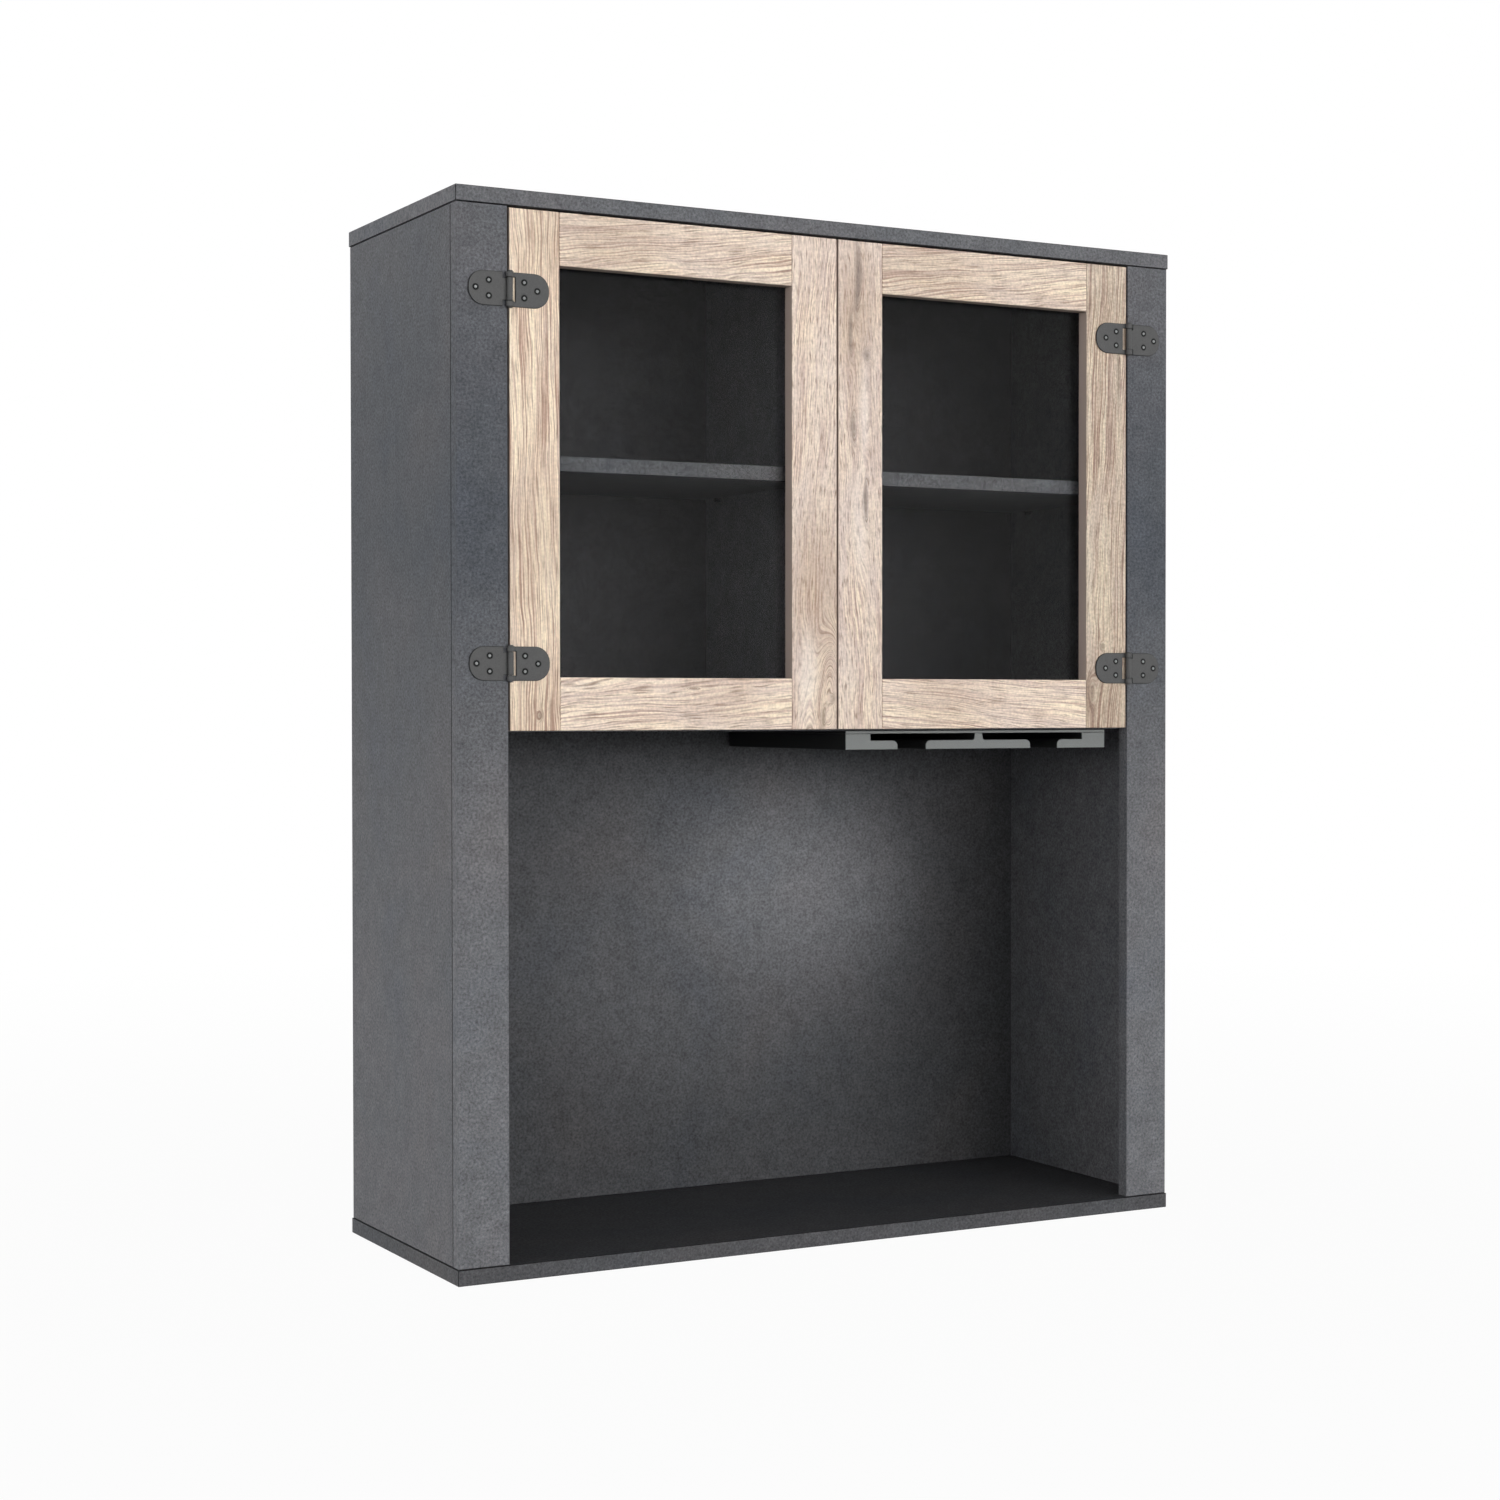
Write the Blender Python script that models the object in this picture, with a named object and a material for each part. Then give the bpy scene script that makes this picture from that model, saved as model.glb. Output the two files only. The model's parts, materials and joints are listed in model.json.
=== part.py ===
"""Bar cabinet: two framed glass doors over an open niche, with a hanging stem rack.

+X is the viewer's right, +Y the back and +Z up, in metres.  The cabinet stands on its bottom panel.
The origin lies on the floor, in the middle of the footprint, hinge barrels included.
"""

import math

import bmesh
import bpy
from mathutils import Matrix, Vector

MM = 0.001

# Carcass
CABINET_WIDTH = 800 * MM  # top and bottom panels, side to side
CABINET_DEPTH = 300 * MM  # top and bottom panels, front to back
CABINET_HEIGHT = 1015 * MM
BOARD = 15 * MM  # thickness of the laminated boards
PANEL_OVERHANG = 1 * MM  # top and bottom panels past the carcass, all round
FRONT_STILE_WIDTH = 50 * MM
NICHE_HEIGHT = 496 * MM  # bottom panel to compartment floor
SHELF_SPACE_BELOW = 232 * MM  # compartment floor to shelf
SHELF_PLAY = 1 * MM  # at the ends and the back of a shelf
SHELF_SETBACK = 2 * MM  # shelf front behind the pane beads
SHELF_PIN_DIAMETER = 5 * MM
SHELF_PIN_LENGTH = 9 * MM  # out of the wall
SHELF_PIN_WEB = 3 * MM  # board left between two opposite pin holes
SHELF_PIN_INSET = 40 * MM  # from the shelf's front and from the back panel
EDGE_EASE = 0.5 * MM  # softened board edges

# Joints between boards
SEAM = 0.3 * MM  # between two pieces that meet
FIT = 0.3 * MM  # round and behind a tongue, pin or screw in its hole
FACE_SKIN = 4 * MM  # board left behind a screw hole in its face
TONGUE_THICKNESS = 5 * MM
TONGUE_LENGTH = 6 * MM
TONGUE_STOP = 20 * MM  # tongues end this far inside the board's ends
STILE_TONGUE_STOP = 10 * MM  # tongues at the ends of the front stiles

# Doors
DOOR_GAP = 2 * MM  # round each door
DOOR_THICKNESS = 15 * MM
DOOR_MEMBER = 50 * MM  # width of the stiles and rails
TENON_LENGTH = 20 * MM
TENON_SHOULDER = 10 * MM  # rail above and below its tenon
PANE_THICKNESS = 4 * MM
PANE_LAP = 9 * MM  # pane over the back of the frame
BEAD_FOOT = 7 * MM  # bead outside the pane's edge
BEAD_REACH = 5 * MM  # bead over the pane
BEAD_LIP = 1.6 * MM
BEAD_RIB = 1.6 * MM  # rib pressed into a saw cut round the frame
BEAD_RIB_SKIN = 1.5 * MM  # wood between the saw cut and a tenon

# Hinges, screwed on the faces of the front stiles and the doors
HINGE_HEIGHT = 32 * MM
UPPER_HINGE_DROP = 76 * MM  # below the door's top edge
LOWER_HINGE_RISE = 62.5 * MM  # above the door's bottom edge
LEAF_LENGTH = 40 * MM  # from the pin's axis to the round end
LEAF_THICKNESS = 1.6 * MM
LEAF_END_RADIUS = 17 * MM
BARREL_DIAMETER = 7 * MM
MIDDLE_KNUCKLE = 21.4 * MM  # knuckle of the frame leaf; the door leaf has one above and one below
KNUCKLE_NOTCH = 3.2 * MM  # space beside the other leaf's knuckle
KNUCKLE_PROUD = 0.25 * MM  # knuckle past the edges of the flat that it is rolled from
PIN_DIAMETER = 3.2 * MM
PIN_HEAD_DIAMETER = 5 * MM
PIN_HEAD = 0.8 * MM
FRAME_SCREW_PAIR = 20 * MM  # two screws, from the pin's axis
FRAME_SCREW_SINGLE = 33 * MM
DOOR_SCREW_PAIR = 15 * MM
DOOR_SCREW_SINGLE = 28 * MM
SCREW_PAIR_SPACING = 14.5 * MM
HINGE_SCREW_HEAD = 5.4 * MM
HINGE_SCREW_DOME = 1.3 * MM
HINGE_SCREW_SINK = 0.2 * MM  # head pressed into the leaf
HINGE_SCREW_SHANK = 3 * MM

# Stem rack under the compartment floor, below the right door
RACK_HEIGHT = 19 * MM
RACK_PLATE = 2.6 * MM
RACK_BLOCK = 28.7 * MM  # thick outer part of a side rail
RACK_SIDE_REACH = 60 * MM  # side rail, outer face to slot
STEM_SLOT = 33.25 * MM
RACK_CENTRE_WIDTH = 126.5 * MM
RACK_FLANGE = 9 * MM
FLANGE_ROUND = 5.5 * MM
RACK_STEM_TOP = 8.8 * MM
RACK_STEM_FOOT = 10.4 * MM
RACK_STEM_FILLET = 2 * MM
RACK_BACK_CLEARANCE = 7 * MM
RACK_SCREW_INSET = 30 * MM
RACK_SCREW_HEAD = 6.4 * MM
RACK_SCREW_SHANK = 3.4 * MM
RACK_SCREW_BITE = 10 * MM  # in a rail

# Magnet catches, pressed into the front edge of the compartment floor, and strikes in the doors
CATCH_OFFSET = 24 * MM  # from the middle of the cabinet
CATCH_DIAMETER = 8 * MM
CATCH_LENGTH = 13 * MM
MAGNET_DIAMETER = 5.6 * MM
MAGNET_LENGTH = 10 * MM
STRIKE_DIAMETER = 8 * MM
STRIKE_THICKNESS = 1.2 * MM
STRIKE_STUD_DIAMETER = 3 * MM
STRIKE_STUD_LENGTH = 7 * MM

# Roundness of the turned pieces and of the rounded outlines
FASTENER_SIDES = 8
BARREL_SIDES = 16
DOME_STEPS = 3
LEAF_END_STEPS = 12
ROUND_STEPS = 5
SMOOTH_ANGLE = math.radians(40)
BREAKOUT = 1 * MM  # a cutter past the surface it starts from, or a tongue's root in its own board
MERGE = 0.00001 * MM

# Places that follow from the sizes
SIDES = (("left", -1), ("right", 1))
BARREL_RADIUS = BARREL_DIAMETER / 2
HINGE_STAND_OFF = BARREL_DIAMETER + SEAM - PANEL_OVERHANG
PANEL_BACK_Y = (CABINET_DEPTH + HINGE_STAND_OFF) / 2
PANEL_FRONT_Y = PANEL_BACK_Y - CABINET_DEPTH
FACE_Y = PANEL_FRONT_Y + PANEL_OVERHANG  # faces of the front stiles and the doors
STILE_BACK_Y = FACE_Y + BOARD
DOOR_BACK_Y = FACE_Y + DOOR_THICKNESS
INNER_FRONT_Y = max(STILE_BACK_Y, DOOR_BACK_Y) + SEAM  # boards behind the doors
CARCASS_BACK_Y = PANEL_BACK_Y - PANEL_OVERHANG
BACK_FACE_Y = CARCASS_BACK_Y - BOARD  # inner face of the back panels
OUTER_X = CABINET_WIDTH / 2 - PANEL_OVERHANG  # outer face of a side panel
INNER_X = OUTER_X - BOARD
STILE_INNER_X = OUTER_X - FRONT_STILE_WIDTH
UNDER_TOP_Z = CABINET_HEIGHT - BOARD
FLOOR_Z = BOARD + NICHE_HEIGHT
FLOOR_TOP_Z = FLOOR_Z + BOARD
SHELF_Z = FLOOR_TOP_Z + SHELF_SPACE_BELOW
HINGE_X = STILE_INNER_X - DOOR_GAP / 2
HINGE_Y = FACE_Y - SEAM - BARREL_RADIUS
DOOR_OUTER_X = STILE_INNER_X - DOOR_GAP
DOOR_INNER_X = DOOR_GAP / 2
DOOR_LOW_Z = FLOOR_Z + DOOR_GAP
DOOR_HIGH_Z = UNDER_TOP_Z - DOOR_GAP
HINGE_HEIGHTS = (("upper", DOOR_HIGH_Z - UPPER_HINGE_DROP), ("lower", DOOR_LOW_Z + LOWER_HINGE_RISE))
PANE_SEAT_Y = DOOR_BACK_Y + SEAM
PANE_BACK_Y = PANE_SEAT_Y + PANE_THICKNESS
BEAD_BACK_Y = PANE_BACK_Y + SEAM + BEAD_LIP
SHELF_FRONT_Y = BEAD_BACK_Y + SHELF_SETBACK

# Colour (sRGB), roughness and metallic value of each finish
FINISHES = {
    "slate_laminate": ("#5f6064", 0.6, 0.0),
    "oak_laminate": ("#cbb196", 0.55, 0.0),
    "glass": ("#3a3d3f", 0.05, 0.0),
    "hinge_paint": ("#5c5e60", 0.45, 0.2),
    "rack_plastic": ("#3b3d3e", 0.5, 0.0),
    "zinc": ("#a8aaac", 0.35, 1.0),
    "black_plastic": ("#1e1f20", 0.5, 0.0),
    "magnet": ("#6f7072", 0.4, 0.8),
}

piece_finishes = {}
tongue_shapes = {}
hole_shapes = {}


def clear_scene():
    for scene_object in list(bpy.data.objects):
        bpy.data.objects.remove(scene_object, do_unlink=True)


# Shapes, each added to a bmesh as one closed body


def append_part(shape, part):
    """Move a finished part into the shape."""
    mesh = bpy.data.meshes.new("part")
    part.to_mesh(mesh)
    part.free()
    shape.from_mesh(mesh)
    bpy.data.meshes.remove(mesh)


def add_box(shape, x, y, z, ease=0.0):
    """A box between two values on each axis, its edges eased by a small chamfer."""
    lows = Vector([min(pair) for pair in (x, y, z)])
    highs = Vector([max(pair) for pair in (x, y, z)])
    part = bmesh.new()
    bmesh.ops.create_cube(part, size=1.0)
    bmesh.ops.scale(part, vec=highs - lows, verts=part.verts)
    bmesh.ops.translate(part, vec=(lows + highs) / 2, verts=part.verts)
    if ease:
        bmesh.ops.bevel(
            part, geom=part.edges[:], offset=ease, segments=1, profile=0.5, affect="EDGES", material=-1)
    append_part(shape, part)


def push_faces(part, faces, push):
    """Extrude flat faces into a closed body."""
    grown_geometry = bmesh.ops.extrude_face_region(part, geom=faces)["geom"]
    moved = [item for item in grown_geometry if isinstance(item, bmesh.types.BMVert)]
    bmesh.ops.translate(part, vec=push, verts=moved)
    bmesh.ops.recalc_face_normals(part, faces=part.faces)


def add_prism(shape, outline, push):
    """A flat outline of points, pushed along a vector."""
    part = bmesh.new()
    face = part.faces.new([part.verts.new(point) for point in outline])
    push_faces(part, [face], push)
    append_part(shape, part)


def add_ring(shape, x, y, z, width):
    """A rectangular ring round the Y axis, with its outer edges at x and z."""
    part = bmesh.new()
    corners = ((x[0], z[0]), (x[1], z[0]), (x[1], z[1]), (x[0], z[1]))
    face = part.faces.new([part.verts.new((across_x, y[0], up)) for across_x, up in corners])
    face.normal_update()
    bmesh.ops.inset_region(part, faces=[face], thickness=width, use_boundary=True, use_even_offset=True)
    bmesh.ops.delete(part, geom=[face], context="FACES_ONLY")
    push_faces(part, part.faces[:], (0, y[1] - y[0], 0))
    append_part(shape, part)


def add_turned(shape, start, direction, profile, sides=FASTENER_SIDES):
    """A turned body whose profile of (distance along, radius) pairs starts and ends on the axis."""
    part = bmesh.new()
    points = [part.verts.new((radius, 0, along)) for along, radius in profile]
    edges = [part.edges.new(pair) for pair in zip(points, points[1:])]
    bmesh.ops.spin(
        part, geom=points + edges, cent=(0, 0, 0), axis=(0, 0, 1), angle=math.tau, steps=sides, use_merge=True)
    bmesh.ops.remove_doubles(part, verts=part.verts, dist=MERGE)
    bmesh.ops.recalc_face_normals(part, faces=part.faces)
    turn = Vector(direction).to_track_quat("Z", "Y").to_matrix().to_4x4()
    bmesh.ops.transform(part, matrix=Matrix.Translation(start) @ turn, verts=part.verts)
    append_part(shape, part)


def rod(radius, length, start=0.0):
    """The profile of a plain round rod."""
    return [(start, 0), (start, radius), (length, radius), (length, 0)]


def arc_points(centre, radius, start, end, steps):
    """Points along an arc between two angles in degrees, both ends included."""
    angles = [math.radians(start + (end - start) * step / steps) for step in range(steps + 1)]
    return [(centre[0] + radius * math.cos(angle), centre[1] + radius * math.sin(angle)) for angle in angles]


def dome_points(radius, height):
    """A round cap from its top to its rim at 0, as (distance along, radius)."""
    sphere = (radius ** 2 + height ** 2) / (2 * height)
    sweep = math.asin(radius / sphere)
    angles = [sweep * step / DOME_STEPS for step in range(DOME_STEPS + 1)]
    return [(sphere * (1 - math.cos(angle)) - height, sphere * math.sin(angle)) for angle in angles]


# Pieces


def new_object(name, shape):
    mesh = bpy.data.meshes.new(name)
    shape.to_mesh(mesh)
    shape.free()
    made = bpy.data.objects.new(name, mesh)
    bpy.context.scene.collection.objects.link(made)
    return made


def combine(target, operation, tool_shape):
    """Join a tool shape to the target, or cut it away."""
    tool = new_object("tool", tool_shape)
    modifier = target.modifiers.new("combine", "BOOLEAN")
    modifier.operation = operation
    modifier.object = tool
    evaluated = target.evaluated_get(bpy.context.evaluated_depsgraph_get())
    mesh = bpy.data.meshes.new_from_object(evaluated)
    target.modifiers.clear()
    target.data = mesh
    bpy.data.objects.remove(tool, do_unlink=True)


def carry(piece, parent):
    """Hang a piece on the empty that marks its joint's axis."""
    if parent is not None:
        piece.parent = parent
        piece.matrix_parent_inverse = Matrix.Translation(-parent.location)


def add_piece(name, finish, shape, parent=None):
    """A named piece from a shape in world places, with its origin in its middle."""
    places = [vert.co for vert in shape.verts]
    lows = Vector([min(place[axis] for place in places) for axis in range(3)])
    highs = Vector([max(place[axis] for place in places) for axis in range(3)])
    middle = (lows + highs) / 2
    bmesh.ops.translate(shape, vec=-middle, verts=shape.verts)
    piece = new_object(name, shape)
    piece.location = middle
    carry(piece, parent)
    piece_finishes[name] = finish
    return piece


def add_board(name, finish, x, y, z, parent=None):
    shape = bmesh.new()
    add_box(shape, x, y, z, EDGE_EASE)
    add_piece(name, finish, shape, parent)


def add_turned_piece(name, finish, start, direction, profile, parent=None):
    shape = bmesh.new()
    add_turned(shape, start, direction, profile)
    add_piece(name, finish, shape, parent)


# Joints and holes, noted first and cut when every piece is there


def grown(pair):
    return (min(pair) - FIT, max(pair) + FIT)


def add_tongue(board, grooved, x, y, z):
    """A tongue on one board and the groove for it in another."""
    add_box(tongue_shapes.setdefault(board, bmesh.new()), x, y, z)
    add_box(hole_shapes.setdefault(grooved, bmesh.new()), grown(x), grown(y), grown(z))


def bore(node, start, direction, profile):
    add_turned(hole_shapes.setdefault(node, bmesh.new()), start, direction, profile)


def band(low, high):
    """A tongue's thickness, in the middle of a board."""
    middle = (low + high) / 2
    return (middle - TONGUE_THICKNESS / 2, middle + TONGUE_THICKNESS / 2)


def stopped(low, high, stop=TONGUE_STOP):
    """A tongue's run, ending inside the board's ends."""
    return (low + stop, high - stop)


def across(joint, outward, length=TONGUE_LENGTH):
    """A tongue's way from its own board over the joint into the other."""
    return (joint - outward * BREAKOUT, joint + outward * length)


def plain_hole(radius, depth):
    return rod(radius + FIT, depth + FIT, -BREAKOUT)


def cut_joints():
    for operation, shapes in (("UNION", tongue_shapes), ("DIFFERENCE", hole_shapes)):
        for node, shape in shapes.items():
            combine(bpy.data.objects[node], operation, shape)


# Finishes


def linear_colour(text):
    """The linear RGBA of an sRGB hex colour."""
    channels = [int(text[start:start + 2], 16) / 255 for start in (1, 3, 5)]
    linear = [value / 12.92 if value <= 0.04045 else ((value + 0.055) / 1.055) ** 2.4 for value in channels]
    return (*linear, 1.0)


def finish_pieces():
    for name, finish in piece_finishes.items():
        colour, roughness, metallic = FINISHES[finish]
        material = bpy.data.materials.new(name)
        material.use_nodes = True
        shader = material.node_tree.nodes["Principled BSDF"]
        shader.inputs["Base Color"].default_value = linear_colour(colour)
        shader.inputs["Roughness"].default_value = roughness
        shader.inputs["Metallic"].default_value = metallic
        mesh = bpy.data.objects[name].data
        mesh.name = name
        mesh.materials.clear()
        mesh.materials.append(material)
        mesh.shade_smooth()
        mesh.set_sharp_from_angle(angle=SMOOTH_ANGLE)


# Carcass


def build_carcass():
    panel_x = (-CABINET_WIDTH / 2, CABINET_WIDTH / 2)
    panel_y = (PANEL_FRONT_Y, PANEL_BACK_Y)
    between_panels = (BOARD + SEAM, UNDER_TOP_Z - SEAM)
    between_sides = (SEAM - INNER_X, INNER_X - SEAM)
    inside_y = (INNER_FRONT_Y, BACK_FACE_Y - SEAM)
    back_y = (BACK_FACE_Y, CARCASS_BACK_Y)
    above_floor = (FLOOR_TOP_Z + SEAM, UNDER_TOP_Z - SEAM)
    laminate = "slate_laminate"
    add_board("top_panel", laminate, panel_x, panel_y, (UNDER_TOP_Z, CABINET_HEIGHT))
    add_board("bottom_panel", laminate, panel_x, panel_y, (0, BOARD))
    for side, sign in SIDES:
        side_x = (sign * INNER_X, sign * OUTER_X)
        add_board(f"{side}_side_panel", laminate, side_x, (STILE_BACK_Y + SEAM, CARCASS_BACK_Y), between_panels)
        stile_x = (sign * STILE_INNER_X, sign * OUTER_X)
        add_board(f"{side}_front_stile", laminate, stile_x, (FACE_Y, STILE_BACK_Y), between_panels)
        shelf_x = (sign * (BOARD / 2 + SHELF_PLAY), sign * (INNER_X - SHELF_PLAY))
        shelf_y = (SHELF_FRONT_Y, BACK_FACE_Y - SHELF_PLAY)
        add_board(f"{side}_shelf", laminate, shelf_x, shelf_y, (SHELF_Z, SHELF_Z + BOARD))
    add_board("compartment_floor", laminate, between_sides, inside_y, (FLOOR_Z, FLOOR_TOP_Z))
    add_board("centre_partition", laminate, (-BOARD / 2, BOARD / 2), inside_y, above_floor)
    add_board("niche_back_panel", laminate, between_sides, back_y, (BOARD + SEAM, FLOOR_TOP_Z))
    add_board("upper_back_panel", laminate, between_sides, back_y, above_floor)


def build_carcass_joints():
    """Glued tongues in stopped grooves, so that no fixing shows outside."""
    inside_y = stopped(INNER_FRONT_Y, BACK_FACE_Y)
    back_y = band(BACK_FACE_Y, CARCASS_BACK_Y)
    floor_z = band(FLOOR_Z, FLOOR_TOP_Z)
    partition_x = band(-BOARD / 2, BOARD / 2)
    between_sides = stopped(-INNER_X, INNER_X)
    niche_z = stopped(BOARD, FLOOR_TOP_Z)
    upper_z = stopped(FLOOR_TOP_Z, UNDER_TOP_Z)
    for side, sign in SIDES:
        panel = f"{side}_side_panel"
        stile = f"{side}_front_stile"
        side_x = band(sign * INNER_X, sign * OUTER_X)
        side_y = stopped(STILE_BACK_Y, CARCASS_BACK_Y)
        stile_run = stopped(STILE_INNER_X, OUTER_X, STILE_TONGUE_STOP)
        stile_x = (sign * stile_run[0], sign * stile_run[1])
        for end, z, up in (("top_panel", UNDER_TOP_Z, 1), ("bottom_panel", BOARD, -1)):
            add_tongue(panel, end, side_x, side_y, across(z, up))
            add_tongue(stile, end, stile_x, band(FACE_Y, STILE_BACK_Y), across(z, up))
        add_tongue(panel, stile, side_x, across(STILE_BACK_Y, -1), stopped(BOARD, UNDER_TOP_Z))
        into_side = across(sign * INNER_X, sign)
        add_tongue("compartment_floor", panel, into_side, inside_y, floor_z)
        add_tongue("niche_back_panel", panel, into_side, back_y, niche_z)
        add_tongue("upper_back_panel", panel, into_side, back_y, upper_z)
    add_tongue("centre_partition", "top_panel", partition_x, inside_y, across(UNDER_TOP_Z, 1))
    add_tongue("centre_partition", "compartment_floor", partition_x, inside_y, across(FLOOR_TOP_Z, -1))
    add_tongue("centre_partition", "upper_back_panel", partition_x, across(BACK_FACE_Y, 1), upper_z)
    add_tongue("compartment_floor", "niche_back_panel", between_sides, across(BACK_FACE_Y, 1), floor_z)
    add_tongue("niche_back_panel", "bottom_panel", between_sides, back_y, across(BOARD, -1))
    add_tongue("upper_back_panel", "top_panel", between_sides, back_y, across(UNDER_TOP_Z, 1))


def build_shelf_pins():
    radius = SHELF_PIN_DIAMETER / 2
    depth = (BOARD - SHELF_PIN_WEB) / 2 - FIT
    profile = rod(radius, SHELF_PIN_LENGTH, -depth)
    height = SHELF_Z - SEAM - radius
    ends = (("front", SHELF_FRONT_Y + SHELF_PIN_INSET), ("back", BACK_FACE_Y - SHELF_PIN_INSET))
    for side, sign in SIDES:
        walls = (
            ("outer", f"{side}_side_panel", sign * INNER_X, -sign),
            ("inner", "centre_partition", sign * BOARD / 2, sign))
        for place, wall, wall_x, out in walls:
            for end, y in ends:
                start = (wall_x, y, height)
                add_turned_piece(f"{side}_shelf_{place}_{end}_pin", "zinc", start, (out, 0, 0), profile)
                bore(wall, start, (-out, 0, 0), plain_hole(radius, depth))


# Stem rack


def side_rail_outline(height):
    """An L from the rack's outer face inwards, as (inwards, up)."""
    rounding = arc_points(
        (RACK_SIDE_REACH - FLANGE_ROUND, RACK_FLANGE - FLANGE_ROUND), FLANGE_ROUND, 0, 90, ROUND_STEPS)
    block = [(RACK_BLOCK, RACK_FLANGE), (RACK_BLOCK, height), (0, height)]
    return [(0, 0), (RACK_SIDE_REACH, 0)] + rounding + block


def centre_rail_outline(height):
    """An inverted T, as (across, up): its right half, then the mirror of it."""
    edge = RACK_CENTRE_WIDTH / 2
    rounding = arc_points((edge - FLANGE_ROUND, RACK_FLANGE - FLANGE_ROUND), FLANGE_ROUND, 0, 90, ROUND_STEPS)
    fillet_centre = (RACK_STEM_FOOT / 2 + RACK_STEM_FILLET, RACK_FLANGE + RACK_STEM_FILLET)
    fillet = arc_points(fillet_centre, RACK_STEM_FILLET, 270, 180, ROUND_STEPS)
    right = [(edge, 0)] + rounding + fillet + [(RACK_STEM_TOP / 2, height)]
    return right + [(-outwards, up) for outwards, up in reversed(right)]


def build_rack():
    width = 2 * (RACK_SIDE_REACH + STEM_SLOT) + RACK_CENTRE_WIDTH
    middle_x = (DOOR_INNER_X + DOOR_OUTER_X) / 2
    front_y = INNER_FRONT_Y
    back_y = BACK_FACE_Y - RACK_BACK_CLEARANCE
    low_z = FLOOR_Z - RACK_HEIGHT
    plate_high_z = FLOOR_Z - SEAM
    plate_low_z = plate_high_z - RACK_PLATE
    rail_height = plate_low_z - SEAM - low_z
    push = (0, back_y - front_y, 0)

    shape = bmesh.new()
    add_box(shape, (middle_x - width / 2, middle_x + width / 2), (front_y, back_y), (plate_low_z, plate_high_z))
    add_piece("rack_plate", "rack_plastic", shape)
    side_outline = side_rail_outline(rail_height)
    for side, sign in SIDES:
        shape = bmesh.new()
        outer_x = middle_x + sign * width / 2
        outline = [(outer_x - sign * inwards, front_y, low_z + up) for inwards, up in side_outline]
        add_prism(shape, outline, push)
        add_piece(f"rack_{side}_rail", "rack_plastic", shape)
    shape = bmesh.new()
    outline = [(middle_x + outwards, front_y, low_z + up) for outwards, up in centre_rail_outline(rail_height)]
    add_prism(shape, outline, push)
    add_piece("rack_centre_rail", "rack_plastic", shape)

    block_offset = (width - RACK_BLOCK) / 2
    rails = (("left", middle_x - block_offset), ("centre", middle_x), ("right", middle_x + block_offset))
    for rail, x in rails:
        for end, y in (("front", front_y + RACK_SCREW_INSET), ("back", back_y - RACK_SCREW_INSET)):
            add_rack_screw(rail, end, (x, y, FLOOR_TOP_Z - SEAM), plate_low_z - SEAM)


def add_rack_screw(rail, end, start, rail_top_z):
    """A countersunk screw from above, through the floor and the plate into a rail."""
    head = RACK_SCREW_HEAD / 2
    shank = RACK_SCREW_SHANK / 2
    length = start[2] - rail_top_z + RACK_SCREW_BITE
    profile = [(0, 0), (0, head), (head - shank, shank), (length - shank, shank), (length, 0)]
    hole = [
        (-BREAKOUT, 0), (-BREAKOUT, head + FIT), (0, head + FIT), (head - shank, shank + FIT),
        (length + FIT, shank + FIT), (length + FIT, 0)]
    down = (0, 0, -1)
    add_turned_piece(f"rack_{rail}_{end}_screw", "zinc", start, down, profile)
    for node in ("compartment_floor", "rack_plate", f"rack_{rail}_rail"):
        bore(node, start, down, hole)


# Doors


def add_door_axis(side, sign):
    axis = bpy.data.objects.new(f"{side}_door_axis", None)
    axis.location = (sign * HINGE_X, HINGE_Y, DOOR_LOW_Z)
    bpy.context.scene.collection.objects.link(axis)
    return axis


def build_door(side, sign, axis):
    """A frame of two stiles and two tenoned rails."""
    door = f"{side}_door"
    outer = (DOOR_OUTER_X - DOOR_MEMBER, DOOR_OUTER_X)
    inner = (DOOR_INNER_X, DOOR_INNER_X + DOOR_MEMBER)
    thick = (FACE_Y, DOOR_BACK_Y)
    tall = (DOOR_LOW_Z, DOOR_HIGH_Z)
    rails = (
        ("bottom_rail", (DOOR_LOW_Z, DOOR_LOW_Z + DOOR_MEMBER)),
        ("top_rail", (DOOR_HIGH_Z - DOOR_MEMBER, DOOR_HIGH_Z)))
    stiles = (("hinge_stile", outer, outer[0], 1), ("meeting_stile", inner, inner[1], -1))
    for stile, (near, far), joint, out in stiles:
        add_board(f"{door}_{stile}", "oak_laminate", (sign * near, sign * far), thick, tall, axis)
        tenon_x = across(sign * joint, sign * out, TENON_LENGTH)
        for rail, heights in rails:
            tenon_z = stopped(*heights, TENON_SHOULDER)
            add_tongue(f"{door}_{rail}", f"{door}_{stile}", tenon_x, band(*thick), tenon_z)
    rail_x = (sign * (inner[1] + SEAM), sign * (outer[0] - SEAM))
    for rail, heights in rails:
        add_board(f"{door}_{rail}", "oak_laminate", rail_x, thick, heights, axis)
    build_pane(door, sign, inner[1], outer[0], axis)


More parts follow.
